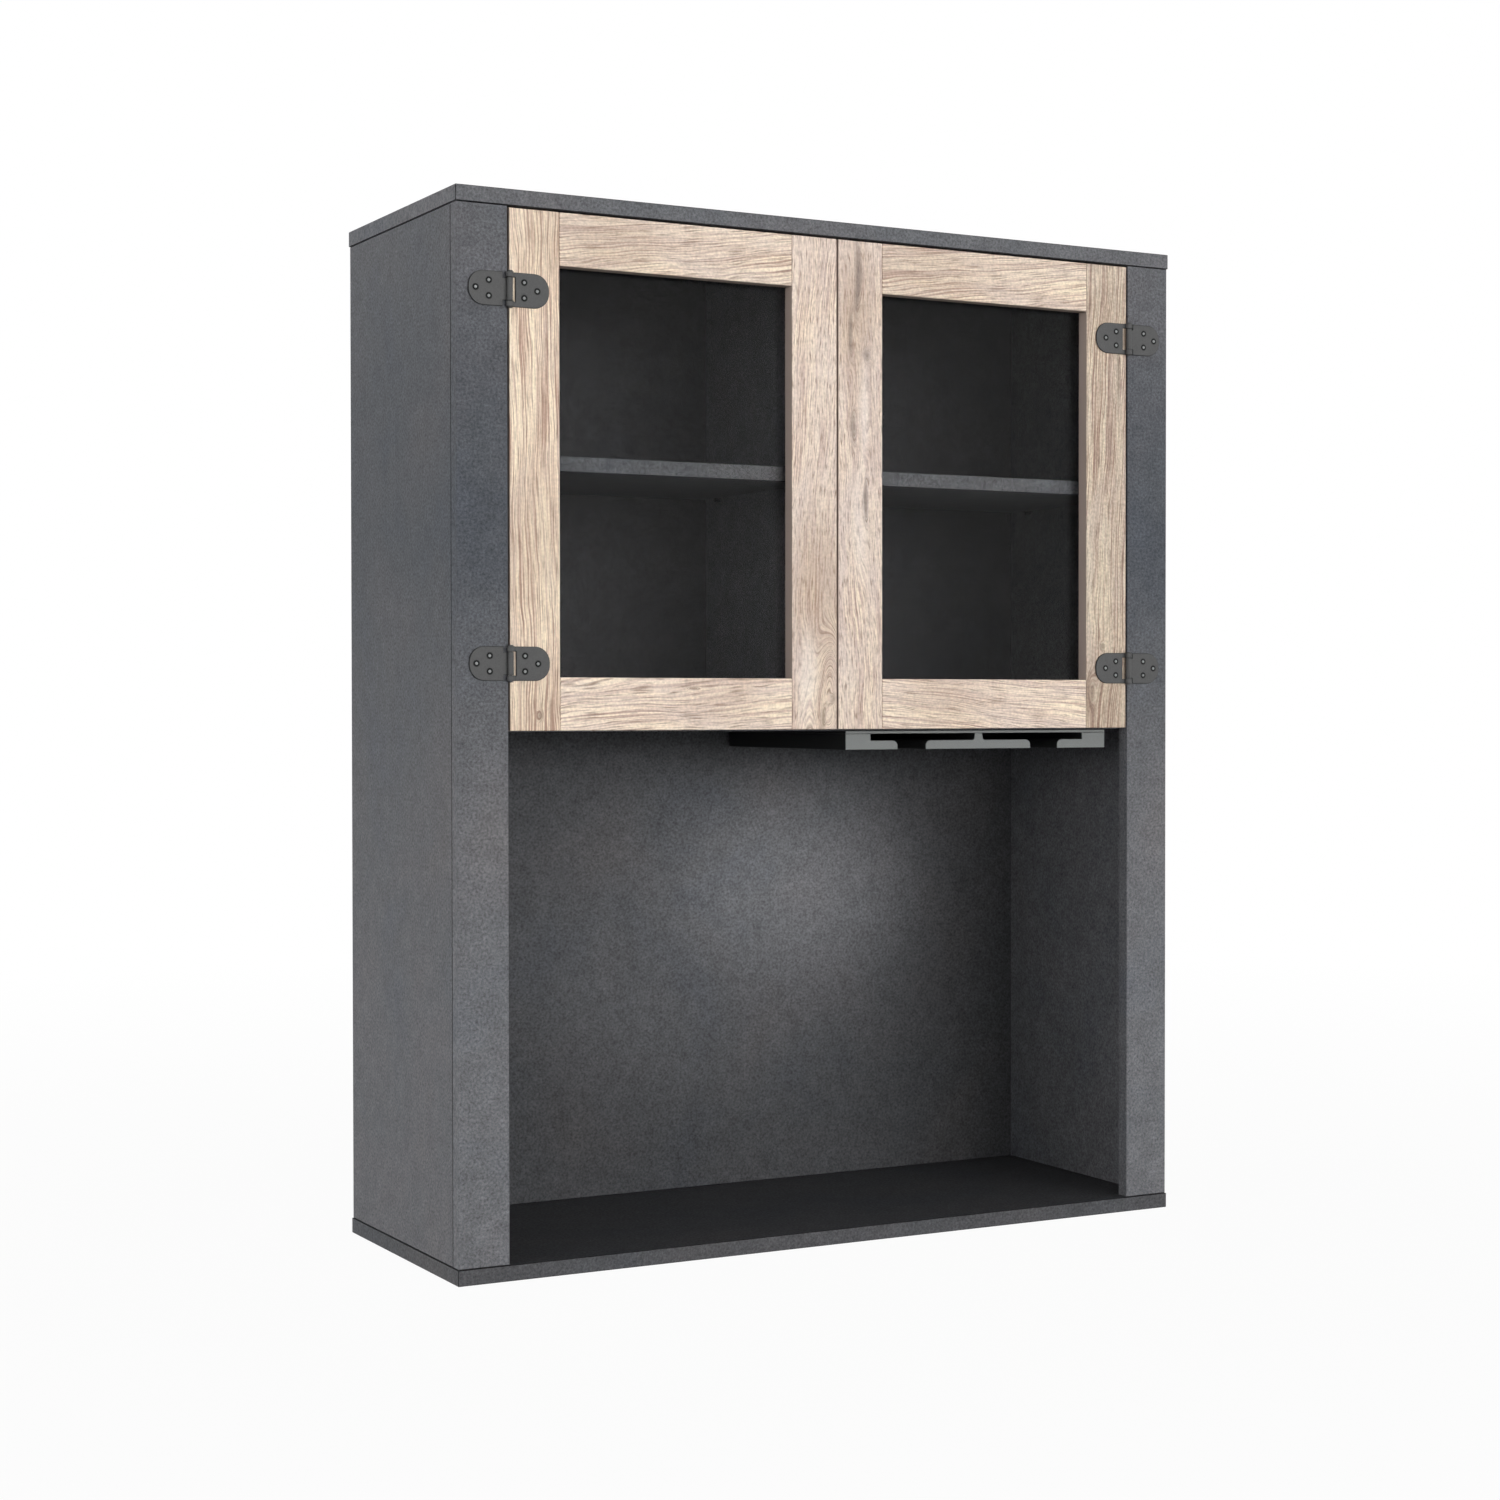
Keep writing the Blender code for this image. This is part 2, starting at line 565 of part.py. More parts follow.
def build_pane(door, sign, opening_near, opening_far, axis):
    """The pane on the back of the frame, and the bead that holds it all round."""
    near = opening_near - PANE_LAP
    far = opening_far + PANE_LAP
    pane_x = (min(sign * near, sign * far), max(sign * near, sign * far))
    pane_z = (DOOR_LOW_Z + DOOR_MEMBER - PANE_LAP, DOOR_HIGH_Z - DOOR_MEMBER + PANE_LAP)
    shape = bmesh.new()
    add_box(shape, pane_x, (PANE_SEAT_Y, PANE_BACK_Y), pane_z, EDGE_EASE)
    add_piece(f"{door}_pane", "glass", shape, axis)

    bead_x = stopped(*pane_x, -BEAD_FOOT)
    bead_z = stopped(*pane_z, -BEAD_FOOT)
    lip = bmesh.new()
    add_ring(lip, bead_x, (BEAD_BACK_Y - BEAD_LIP, BEAD_BACK_Y), bead_z, BEAD_FOOT + BEAD_REACH)
    bead = add_piece(f"{door}_pane_bead", "black_plastic", lip, axis)
    foot = bmesh.new()
    add_ring(foot, bead_x, (PANE_SEAT_Y, BEAD_BACK_Y - BEAD_LIP / 2), bead_z, BEAD_FOOT - FIT)
    combine(bead, "UNION", foot)
    rib_inset = (BEAD_FOOT - BEAD_RIB) / 2
    rib_x = stopped(*bead_x, rib_inset)
    rib_z = stopped(*bead_z, rib_inset)
    rib_low_y = (DOOR_BACK_Y + FACE_Y + TONGUE_THICKNESS) / 2 + BEAD_RIB_SKIN
    rib = bmesh.new()
    add_ring(rib, rib_x, (rib_low_y, PANE_SEAT_Y + BREAKOUT), rib_z, BEAD_RIB)
    combine(bead, "UNION", rib)
    for member in ("hinge_stile", "meeting_stile", "bottom_rail", "top_rail"):
        cut = hole_shapes.setdefault(f"{door}_{member}", bmesh.new())
        cut_y = (rib_low_y - FIT, DOOR_BACK_Y + BREAKOUT)
        add_ring(cut, grown(rib_x), cut_y, grown(rib_z), BEAD_RIB + 2 * FIT)


# Hinges, modelled with the pin's axis on Z, the frame leaf towards -X and the wood behind at +Y


def leaf_outline(sign, knuckles):
    """The flat of a leaf, as (x, z): its round end towards sign, and its tabs at the knuckles."""
    half = HINGE_HEIGHT / 2
    root = BARREL_RADIUS / 2
    notch = BARREL_RADIUS + KNUCKLE_NOTCH
    sweep = math.degrees(math.asin(half / LEAF_END_RADIUS))
    end_centre = (LEAF_LENGTH - LEAF_END_RADIUS, 0)
    outline = arc_points(end_centre, LEAF_END_RADIUS, -sweep, sweep, LEAF_END_STEPS)
    level = half
    for high, low in knuckles:
        tab_high = high - KNUCKLE_PROUD
        tab_low = low + KNUCKLE_PROUD
        if tab_high < level:
            outline += [(notch, level), (notch, tab_high)]
        outline += [(root, tab_high), (root, tab_low)]
        level = tab_low
    if level > -half:
        outline += [(notch, level), (notch, -half)]
    return [(sign * x, z) for x, z in outline]


def screw_places(pair, single):
    """The three screws of a leaf, as (distance from the pin's axis, height)."""
    return ((pair, SCREW_PAIR_SPACING / 2), (pair, -SCREW_PAIR_SPACING / 2), (single, 0))


def new_leaf(sign, knuckles, places, screw_depth):
    """A leaf with its knuckles round the pin and its driven screws."""
    front_y = BARREL_RADIUS - LEAF_THICKNESS
    flat = bmesh.new()
    add_prism(flat, [(x, front_y, z) for x, z in leaf_outline(sign, knuckles)], (0, LEAF_THICKNESS, 0))
    leaf = new_object("leaf", flat)
    tubes = bmesh.new()
    for high, low in knuckles:
        add_turned(tubes, (0, 0, low), (0, 0, 1), rod(BARREL_RADIUS, high - low), BARREL_SIDES)
    combine(leaf, "UNION", tubes)
    screws = bmesh.new()
    head = HINGE_SCREW_HEAD / 2
    shank = HINGE_SCREW_SHANK / 2
    length = LEAF_THICKNESS - HINGE_SCREW_SINK + SEAM + screw_depth
    dome = dome_points(head, HINGE_SCREW_DOME + HINGE_SCREW_SINK)
    screw = dome + [(0, shank), (length - shank, shank), (length, 0)]
    for distance, z in places:
        add_turned(screws, (sign * distance, front_y + HINGE_SCREW_SINK, z), (0, 1, 0), screw)
    combine(leaf, "UNION", screws)
    pin_hole = bmesh.new()
    reach = HINGE_HEIGHT / 2 + BREAKOUT
    add_turned(pin_hole, (0, 0, 0), (0, 0, 1), rod(PIN_DIAMETER / 2 + FIT, reach, -reach), BARREL_SIDES)
    combine(leaf, "DIFFERENCE", pin_hole)
    mesh = leaf.data
    bpy.data.objects.remove(leaf, do_unlink=True)
    return mesh


def new_pin():
    shape = bmesh.new()
    seat = HINGE_HEIGHT / 2 + KNUCKLE_PROUD + SEAM
    end = seat + PIN_HEAD
    head = PIN_HEAD_DIAMETER / 2
    shank = PIN_DIAMETER / 2
    profile = [
        (-end, 0), (-end, head), (-seat, head), (-seat, shank),
        (seat, shank), (seat, head), (end, head), (end, 0)]
    add_turned(shape, (0, 0, 0), (0, 0, 1), profile, BARREL_SIDES)
    mesh = bpy.data.meshes.new("pin")
    shape.to_mesh(mesh)
    shape.free()
    return mesh


def place_copy(name, finish, mesh, place, sign, parent=None):
    """A copy of a hinge piece; turned over about Y it serves the right side of the cabinet."""
    copy = bpy.data.objects.new(name, mesh.copy())
    copy.location = place
    copy.rotation_euler = (0, math.pi if sign > 0 else 0, 0)
    bpy.context.scene.collection.objects.link(copy)
    carry(copy, parent)
    piece_finishes[name] = finish


def build_hinges(door_axes):
    end = HINGE_HEIGHT / 2 + KNUCKLE_PROUD
    middle = MIDDLE_KNUCKLE / 2
    frame_depth = BOARD - FACE_SKIN
    door_depth = DOOR_THICKNESS - FACE_SKIN
    frame_places = screw_places(FRAME_SCREW_PAIR, FRAME_SCREW_SINGLE)
    door_places = screw_places(DOOR_SCREW_PAIR, DOOR_SCREW_SINGLE)
    door_knuckles = ((end, middle + SEAM), (-middle - SEAM, -end))
    frame_leaf = new_leaf(-1, ((middle, -middle),), frame_places, frame_depth)
    door_leaf = new_leaf(1, door_knuckles, door_places, door_depth)
    pin = new_pin()
    for side, sign in SIDES:
        axis = door_axes[side]
        for level, z in HINGE_HEIGHTS:
            hinge = f"{side}_{level}_hinge"
            place = (sign * HINGE_X, HINGE_Y, z)
            place_copy(f"{hinge}_frame_leaf", "hinge_paint", frame_leaf, place, sign)
            place_copy(f"{hinge}_door_leaf", "hinge_paint", door_leaf, place, sign, axis)
            place_copy(f"{hinge}_pin", "zinc", pin, place, sign, axis)
            woods = (
                (f"{side}_front_stile", sign, frame_places, frame_depth),
                (f"{side}_door_hinge_stile", -sign, door_places, door_depth))
            for wood, out, places, depth in woods:
                for distance, up in places:
                    start = (sign * HINGE_X + out * distance, FACE_Y, z + up)
                    bore(wood, start, (0, 1, 0), plain_hole(HINGE_SCREW_SHANK / 2, depth))


# Magnet catches


def build_catch(side, sign, axis):
    """A magnet in a sleeve in the floor's front edge, and the steel strike that it holds in the door."""
    x = sign * CATCH_OFFSET
    z = (FLOOR_Z + FLOOR_TOP_Z) / 2
    back = (0, 1, 0)
    front = (x, INNER_FRONT_Y, z)
    radius = CATCH_DIAMETER / 2
    magnet = MAGNET_DIAMETER / 2
    pocket = magnet + FIT
    bottom = MAGNET_LENGTH + FIT
    sleeve = [
        (bottom, 0), (bottom, pocket), (0, pocket), (0, radius),
        (CATCH_LENGTH, radius), (CATCH_LENGTH, 0)]
    add_turned_piece(f"{side}_catch_sleeve", "black_plastic", front, back, sleeve)
    add_turned_piece(f"{side}_catch_magnet", "magnet", front, back, rod(magnet, MAGNET_LENGTH))
    bore("compartment_floor", front, back, plain_hole(radius, CATCH_LENGTH))

    disc = STRIKE_DIAMETER / 2
    stud = STRIKE_STUD_DIAMETER / 2
    length = STRIKE_THICKNESS + STRIKE_STUD_LENGTH
    strike = [
        (0, 0), (0, disc), (STRIKE_THICKNESS, disc), (STRIKE_THICKNESS, stud),
        (length, stud), (length, 0)]
    seat = (x, DOOR_BACK_Y, z)
    forward = (0, -1, 0)
    add_turned_piece(f"{side}_strike", "zinc", seat, forward, strike, axis)
    hole = [
        (-BREAKOUT, 0), (-BREAKOUT, disc + FIT), (STRIKE_THICKNESS + FIT, disc + FIT),
        (STRIKE_THICKNESS + FIT, stud + FIT), (length + FIT, stud + FIT), (length + FIT, 0)]
    bore(f"{side}_door_meeting_stile", seat, forward, hole)


def build_cabinet():
    clear_scene()
    build_carcass()
    build_carcass_joints()
    build_shelf_pins()
    build_rack()
    axes = {}
    for side, sign in SIDES:
        axes[side] = add_door_axis(side, sign)
        build_door(side, sign, axes[side])
        build_catch(side, sign, axes[side])
    build_hinges(axes)
    cut_joints()
    finish_pieces()


build_cabinet()
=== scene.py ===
# %% [markdown]
# # The finishes of a bar cabinet with two glass doors
#
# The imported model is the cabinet's joinery: boards, doors, hinges and hanging rack at their real size.
# This lesson adds what the eye meets first: the printed laminates, the glass, the paint and the metal.
# All of it could be modelled anew.  But a board whose solid already has the right shape keeps it and only
# gets a finish, so it can't drift from its size.  The hinges, pins, screws and rack rails are modelled
# again, because rounder forms and softened edges show on them.

import json
import math

import bmesh
import bpy
from mathutils import Matrix, Vector

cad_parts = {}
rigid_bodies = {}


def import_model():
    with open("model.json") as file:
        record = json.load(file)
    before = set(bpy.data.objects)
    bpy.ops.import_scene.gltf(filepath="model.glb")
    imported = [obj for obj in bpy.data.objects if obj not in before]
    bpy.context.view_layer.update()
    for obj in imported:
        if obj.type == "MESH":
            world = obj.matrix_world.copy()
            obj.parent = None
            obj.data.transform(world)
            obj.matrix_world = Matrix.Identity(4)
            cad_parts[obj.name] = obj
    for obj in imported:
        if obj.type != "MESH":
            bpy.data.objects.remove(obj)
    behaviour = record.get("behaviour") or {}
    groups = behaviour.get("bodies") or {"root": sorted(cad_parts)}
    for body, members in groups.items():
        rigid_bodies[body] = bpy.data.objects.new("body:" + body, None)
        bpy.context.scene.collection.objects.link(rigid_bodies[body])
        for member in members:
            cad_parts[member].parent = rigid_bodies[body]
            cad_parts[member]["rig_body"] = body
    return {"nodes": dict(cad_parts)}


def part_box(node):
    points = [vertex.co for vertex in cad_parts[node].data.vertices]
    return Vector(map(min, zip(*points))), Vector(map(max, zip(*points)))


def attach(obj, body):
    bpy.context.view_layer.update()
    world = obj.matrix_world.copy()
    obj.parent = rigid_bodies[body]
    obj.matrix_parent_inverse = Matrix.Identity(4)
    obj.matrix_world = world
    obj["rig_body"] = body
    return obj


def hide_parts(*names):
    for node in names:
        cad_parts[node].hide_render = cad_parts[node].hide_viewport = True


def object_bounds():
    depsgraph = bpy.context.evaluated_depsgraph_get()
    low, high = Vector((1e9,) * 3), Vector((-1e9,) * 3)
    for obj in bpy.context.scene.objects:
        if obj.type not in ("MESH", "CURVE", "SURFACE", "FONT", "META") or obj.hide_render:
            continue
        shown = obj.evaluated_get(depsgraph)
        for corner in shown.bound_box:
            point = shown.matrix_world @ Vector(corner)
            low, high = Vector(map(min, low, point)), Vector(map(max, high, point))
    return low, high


MM = 0.001

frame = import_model()
nodes = frame["nodes"]
cad_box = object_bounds()
print(len(nodes), "pieces from", [round(v, 4) for v in cad_box[0]], "to", [round(v, 4) for v in cad_box[1]])

# %% [markdown]
# ## Colours and shader nodes
#
# Colours are picked on a screen, so they are written as sRGB hex values.  Blender's sockets want linear
# light, and one function converts them.  Nodes could be placed by hand in the shader editor, but a script
# can be read and run again.  So one small function adds a shader node: its settings by name, its inputs by
# socket name or number, and the colours of its ramp.  That keeps every material below a short list of
# steps.  Pattern sizes are written in millimetres, because that is how a surface is measured.


# %% Colour and node helpers
def linear(text):
    """An sRGB hex colour as the linear RGBA that sockets take."""
    channels = [int(text[start:start + 2], 16) / 255 for start in (1, 3, 5)]
    light = [value / 12.92 if value <= 0.04045 else ((value + 0.055) / 1.055) ** 2.4 for value in channels]
    return (*light, 1.0)


def connect(material, node, inputs):
    """Fill a node's sockets; an input is a value, another node's first output, or a socket."""
    for key, value in inputs.items():
        source = value.outputs[0] if isinstance(value, bpy.types.Node) else value
        if isinstance(source, bpy.types.NodeSocket):
            material.node_tree.links.new(source, node.inputs[key])
        else:
            node.inputs[key].default_value = source


def add_node(material, kind, inputs=None, stops=None, **settings):
    """Add a shader node with its settings, its inputs and the colours of its ramp."""
    node = material.node_tree.nodes.new("ShaderNode" + kind)
    for setting, value in settings.items():
        setattr(node, setting, value)
    connect(material, node, inputs or {})
    for index, (position, shade) in enumerate(stops or ()):
        elements = node.color_ramp.elements
        element = elements[index] if index < 2 else elements.new(position)
        element.position = position
        element.color = linear(shade)
    return node


def new_material(name):
    """A material and its Principled shader."""
    material = bpy.data.materials.new(name)
    material.use_nodes = True
    return material, material.node_tree.nodes["Principled BSDF"]


MIX_A = 6  # the colour sockets of a Mix node
MIX_B = 7
MIX_RESULT = 2
print("white is", [round(value, 3) for value in linear("#ffffff")])
print("mid grey is", round(linear("#808080")[0], 3))

# %% [markdown]
# ## Slate print
#
# The carcass is particle board faced with melamine paper that is printed to look like slate or burnished
# concrete.  The print has slow clouds that lean to blue or to brown, a finer mottle, and a grit of dark
# and pale specks.  A picture could be laid on each board, but noise at three real sizes gives the same
# layers, has no seams, and runs on round every corner.  Upright boards also get a slow ramp over their
# height: unchanged in the lowest quarter, darker and a little bluer from a third to four fifths of the
# height, and a little paler again at the top.

# %% Slate print
CLOUD = 160  # mm
MOTTLE = 20
GRIT = 2.6  # coarser than the printed grit, so that it shows in the picture
MOTTLE_SWING = 0.8  # how strongly a pattern lightens and darkens the print
GRIT_SWING = 1.8
TINTS = ((0.32, "#606267"), (0.46, "#646568"), (0.56, "#666669"), (0.68, "#69686a"))
HEIGHT_RAMP = (  # share of the cabinet's height, and the shade there
    (0.0, "#ffffff"), (0.24, "#ffffff"), (0.42, "#f2f2f2"), (0.54, "#e3e3e4"),
    (0.67, "#c5c9ce"), (0.82, "#c5c9ce"), (0.96, "#e3e3e4"))


def slate_print(material, place, shift, tone, drift):
    """The printed colour, then the mottle's shade, the mottle and the grit that it is made from."""
    sheet = add_node(material, "Mapping", {
        "Vector": place, "Location": [value * MM for value in shift]})
    clouds = add_node(material, "TexNoise", {
        "Vector": sheet, "Scale": 1 / (CLOUD * MM), "Detail": 5.0, "Roughness": 0.6, "Distortion": 0.4})
    mottle = add_node(material, "TexNoise", {
        "Vector": sheet, "Scale": 1 / (MOTTLE * MM), "Detail": 5.0, "Roughness": 0.7})
    grit = add_node(material, "TexNoise", {
        "Vector": sheet, "Scale": 1 / (GRIT * MM), "Detail": 2.0, "Roughness": 0.7})
    tint = add_node(material, "ValToRGB", {"Fac": clouds}, TINTS)
    pale = add_node(material, "Math", {
        0: mottle, 1: MOTTLE_SWING, 2: 1 - MOTTLE_SWING / 2}, operation="MULTIPLY_ADD")
    specks = add_node(material, "Math", {
        0: grit, 1: GRIT_SWING, 2: 1 - GRIT_SWING / 2}, operation="MULTIPLY_ADD")
    both = add_node(material, "Math", {0: pale, 1: specks}, operation="MULTIPLY")
    value = add_node(material, "Math", {0: both, 1: tone}, operation="MULTIPLY")
    face = add_node(material, "HueSaturation", {"Color": tint, "Value": value})
    if drift:
        height = add_node(material, "SeparateXYZ", {"Vector": place}).outputs["Z"]
        level = add_node(material, "MapRange", {
            "Value": height, "From Min": cad_box[0].z, "From Max": cad_box[1].z})
        fade = add_node(material, "ValToRGB", {"Fac": level}, HEIGHT_RAMP)
        face = add_node(material, "Mix", {
            0: drift, MIX_A: face, MIX_B: fade}, data_type="RGBA", blend_type="MULTIPLY").outputs[MIX_RESULT]
    return face, pale, mottle, grit


print("slate print: clouds of", CLOUD, "mm, mottle of", MOTTLE, "mm, grit of", GRIT, "mm")

# %% [markdown]
# ## Slate laminate on a board
#
# The eased edges of a board are painted nearly black, as painted shade: a thin dark line that stands for
# the shadow in the joints where boards meet.  The back panels have plain paper on the side that faces the
# wall.  Strips could be modelled for both.  It is simpler to ask which way the surface faces: a slanting
# normal is an eased edge, and a normal that points to the rear is the papered side.

# %% Slate laminate
PAPER = "#606163"
# painted shade: eased edges are painted nearly black, for the shadow in the joints between boards
EASED_EDGE_SHADE = "#111214"
FACING = 0.9  # a surface faces along an axis if its normal has more than this share of it
EASED = 1.2  # the shares of a slanting normal add up to more than this
ALL_EDGES = (1, 1, 1)  # what counts of a normal's X, Y and Z shares
LEVEL_EDGES = (0, 1, 1)


def slate_laminate(name, shift, tone, drift, papered, edges):
    """Melamine print on board: dull stone, whose fine pressed grit breaks up every reflection.

    shift picks the part of the print, in mm, and drift is how much of the slow change over the height shows.
    A papered board has plain paper on its rear face.  edges says which eased edges get the painted shade
    line.
    """
    material, shader = new_material(name)
    where = add_node(material, "TexCoord")
    face, pale, mottle, grit = slate_print(material, where.outputs["Object"], shift, tone, drift)
    if papered:
        facing = add_node(material, "SeparateXYZ", {"Vector": where.outputs["Normal"]})
        rear = add_node(material, "Math", {0: facing.outputs["Y"], 1: FACING}, operation="GREATER_THAN")
        paper = add_node(material, "HueSaturation", {"Color": linear(PAPER), "Value": pale})
        face = add_node(material, "Mix", {
            0: rear, MIX_A: face, MIX_B: paper}, data_type="RGBA").outputs[MIX_RESULT]
    slant = add_node(material, "VectorMath", {0: where.outputs["Normal"]}, operation="ABSOLUTE")
    shares = add_node(material, "VectorMath", {0: slant, 1: edges}, operation="DOT_PRODUCT").outputs["Value"]
    eased = add_node(material, "Math", {0: shares, 1: EASED}, operation="GREATER_THAN")
    # the painted shade line along the eased edges
    face = add_node(material, "Mix", {
        0: eased, MIX_A: face, MIX_B: linear(EASED_EDGE_SHADE)}, data_type="RGBA").outputs[MIX_RESULT]
    relief = add_node(material, "Bump", {"Height": grit, "Strength": 0.3, "Distance": 0.15 * MM})
    dullness = add_node(material, "MapRange", {"Value": mottle, "To Min": 0.55, "To Max": 0.75})
    connect(material, shader, {
        "Base Color": face, "Roughness": dullness, "Normal": relief, "Specular IOR Level": 0.1})
    return material


print("eased edges are", EASED_EDGE_SHADE, "and rear faces", PAPER)

# %% [markdown]
# ## The boards
#
# Boards of one cabinet are cut from different places of the printed sheet, so no two show the same clouds.
# One material for all would let a cloud run on from board to board.  Each board therefore gets its own
# shift of the print.  The tones of the boards that show were set by comparing render and photograph, and
# some are painted light and shade: the back panels, the bottom panel and the compartment floor are
# darkened as painted shade, where the niche and the compartments lie in shadow, and the centre partition
# and the right side panel are made paler as painted light.


# %% Dress the boards
def dress(material, *names):
    """Give CAD pieces a finish."""
    for name in names:
        nodes[name].material_slots[0].material = material


BOARDS = {  # print shift in mm, tone, drift, papered, edges
    "top_panel": ((310, 40, 0), 1.03, 0, False, ALL_EDGES),
    # painted shade: darker, for the shadow on the floor of the niche
    "bottom_panel": ((-520, 90, 300), 0.68, 0, False, ALL_EDGES),
    "left_side_panel": ((40, 0, 0), 1.03, 0.7, False, ALL_EDGES),
    # painted light: paler, so that its inner face, which lines the shaded niche, comes out lighter
    "right_side_panel": ((90, 120, 60), 1.15, 0.7, False, ALL_EDGES),
    "left_front_stile": ((0, 0, 30), 1.22, 1, False, LEVEL_EDGES),
    "right_front_stile": ((-760, 0, 35), 1.26, 1, False, LEVEL_EDGES),
    # painted shade: the back panels and compartment floor are darker for the shadow inside
    "niche_back_panel": ((250, 0, 130), 0.5, 0, True, ALL_EDGES),
    "upper_back_panel": ((500, 0, 330), 0.47, 0, True, ALL_EDGES),
    "compartment_floor": ((130, 250, 0), 0.7, 0, False, ALL_EDGES),
    # painted light: the centre partition is made paler
    "centre_partition": ((0, 310, 210), 1.5, 0, False, ALL_EDGES),
    "left_shelf": ((610, 20, 90), 0.97, 0, False, ALL_EDGES),
    "right_shelf": ((910, 420, 90), 1.04, 0, False, ALL_EDGES),
}
for board, look in BOARDS.items():
    dress(slate_laminate("slate_laminate_" + board, *look), board)
print(len(BOARDS), "boards have the slate laminate")

# %% [markdown]
# ## Oak grain
#
# The door frames carry a print of rustic oak.  Grain follows the length of each member, upright on the
# stiles and level on the rails.  One pattern for all eight could be turned per member, but then they would
# look alike.  So every member measures its own places from its middle, in millimetres, with Z along the
# grain, and slow and quick noise bends those places the way a tree sways as it grows.

# %% Oak grain
SWAY = Vector((18, 6, 0))  # mm that slow noise bends the grain
SWAY_SIZE = (55, 150)  # mm across and along the grain
SHIVER = Vector((2.0, 0, 0))
SHIVER_SIZE = (7, 30)


def grain_noise(material, place, across, along, detail=2.0):
    """Noise drawn out along the grain; across and along are the size of a streak in mm."""
    sized = add_node(material, "Mapping", {"Vector": place, "Scale": (1 / across, 1 / across, 1 / along)})
    return add_node(material, "TexNoise", {"Vector": sized, "Scale": 1.0, "Detail": detail})


def oak_grain(material, place, box, level):
    """Places in mm from a member's middle, with Z along the grain, bent by growth."""
    turn = Matrix.Rotation(math.radians(90 if level else 0), 3, "Y")
    middle = turn @ ((box[0] + box[1]) / 2)
    board = add_node(material, "Mapping", {
        "Vector": place, "Location": -middle / MM, "Rotation": turn.to_euler(), "Scale": (1 / MM,) * 3})
    sway = grain_noise(material, board, *SWAY_SIZE)
    bent = add_node(material, "VectorMath", {
        0: sway.outputs["Color"], 1: SWAY, 2: board}, operation="MULTIPLY_ADD")
    shiver = grain_noise(material, bent, *SHIVER_SIZE)
    return add_node(material, "VectorMath", {
        0: shiver.outputs["Color"], 1: SHIVER, 2: bent}, operation="MULTIPLY_ADD")


print("the grain sways by up to", SWAY.x, "mm and shivers by up to", SHIVER.x, "mm")

# %% [markdown]
# ## Rings, knots and cracks
#
# A tree's rings are shells round its pith.  Stripes could be drawn straight, but a saw cuts the shells at a
# slant, and that makes the long arches of a board.  So each place is given its distance from a leaning pith
# line.  A knot or a crack is a soft spot that lifts that distance, so the stripes flow round it, and the
# same spot later stains the colour.  A spot without lift is a slow shade of the print.

# %% Rings and marks
THROUGH = 1000  # mm, deeper than any board, so that a mark goes through it


def ring_radius(material, grown, pith, tilt):
    """The distance from the pith line, in mm."""
    lean = add_node(material, "Mapping", {
        "Vector": grown, "Location": (-pith[0], -pith[1], 0),
        "Rotation": [math.radians(angle) for angle in tilt]})
    flat = add_node(material, "VectorMath", {0: lean, 1: (1, 1, 0)}, operation="MULTIPLY")
    return add_node(material, "VectorMath", {0: flat}, operation="LENGTH").outputs["Value"]


def oak_marks(material, grown, radius, marks):
    """The radius as the marks lift it, and each mark's soft spot with its colour.

    Each mark is (across, along, half width, half length, lift, colour, strength), in mm.
    """
    stains = []
    for across, along, half_width, half_length, lift, colour, strength in marks:
        near = add_node(material, "Mapping", {
            "Vector": grown, "Location": Vector((across, 0, along)) + (SWAY + SHIVER) / 2,
            "Scale": (half_width, THROUGH, half_length)}, vector_type="TEXTURE")
        away = add_node(material, "VectorMath", {0: near}, operation="LENGTH").outputs["Value"]
        spot = add_node(material, "MapRange", {
            "Value": away, "To Min": strength, "To Max": 0.0}, interpolation_type="SMOOTHERSTEP")
        radius = add_node(material, "Math", {
            0: spot, 1: lift / strength, 2: radius}, operation="MULTIPLY_ADD")
        stains.append((spot, colour))
    return radius, stains


print("marks go", THROUGH, "mm deep")

# %% [markdown]
# ## Oak colours
#
# The print has cream early wood, brown late wood, dark open pores, and here and there a veil of rosy grey.
# A single stripe pattern would repeat.  A noise that is very fine across the rings and long along them has
# the uneven widths of real growth, and a second one, a few times wider, gathers the lines into bands.

# %% Oak print
LINE = 1.2  # mm, half the distance between the fine lines of growth
LINE_SHARE = 0.75  # of the growth; the bands have the rest
BAND = 9
BAND_RUN = 180
PORE_WIDTH = 0.9  # wider than a real oak pore, so that it shows in the picture
PATCH_SIZE = (30, 110)  # mm across and along the grain, of the veil
VEIL_SWING = 0.3
CREAM = "#f3e3c9"
TAN = "#dac2ad"
BROWN = "#aa8a79"
PORE_BROWN = "#876d5c"
GREY_ROSE = "#d6c6bd"


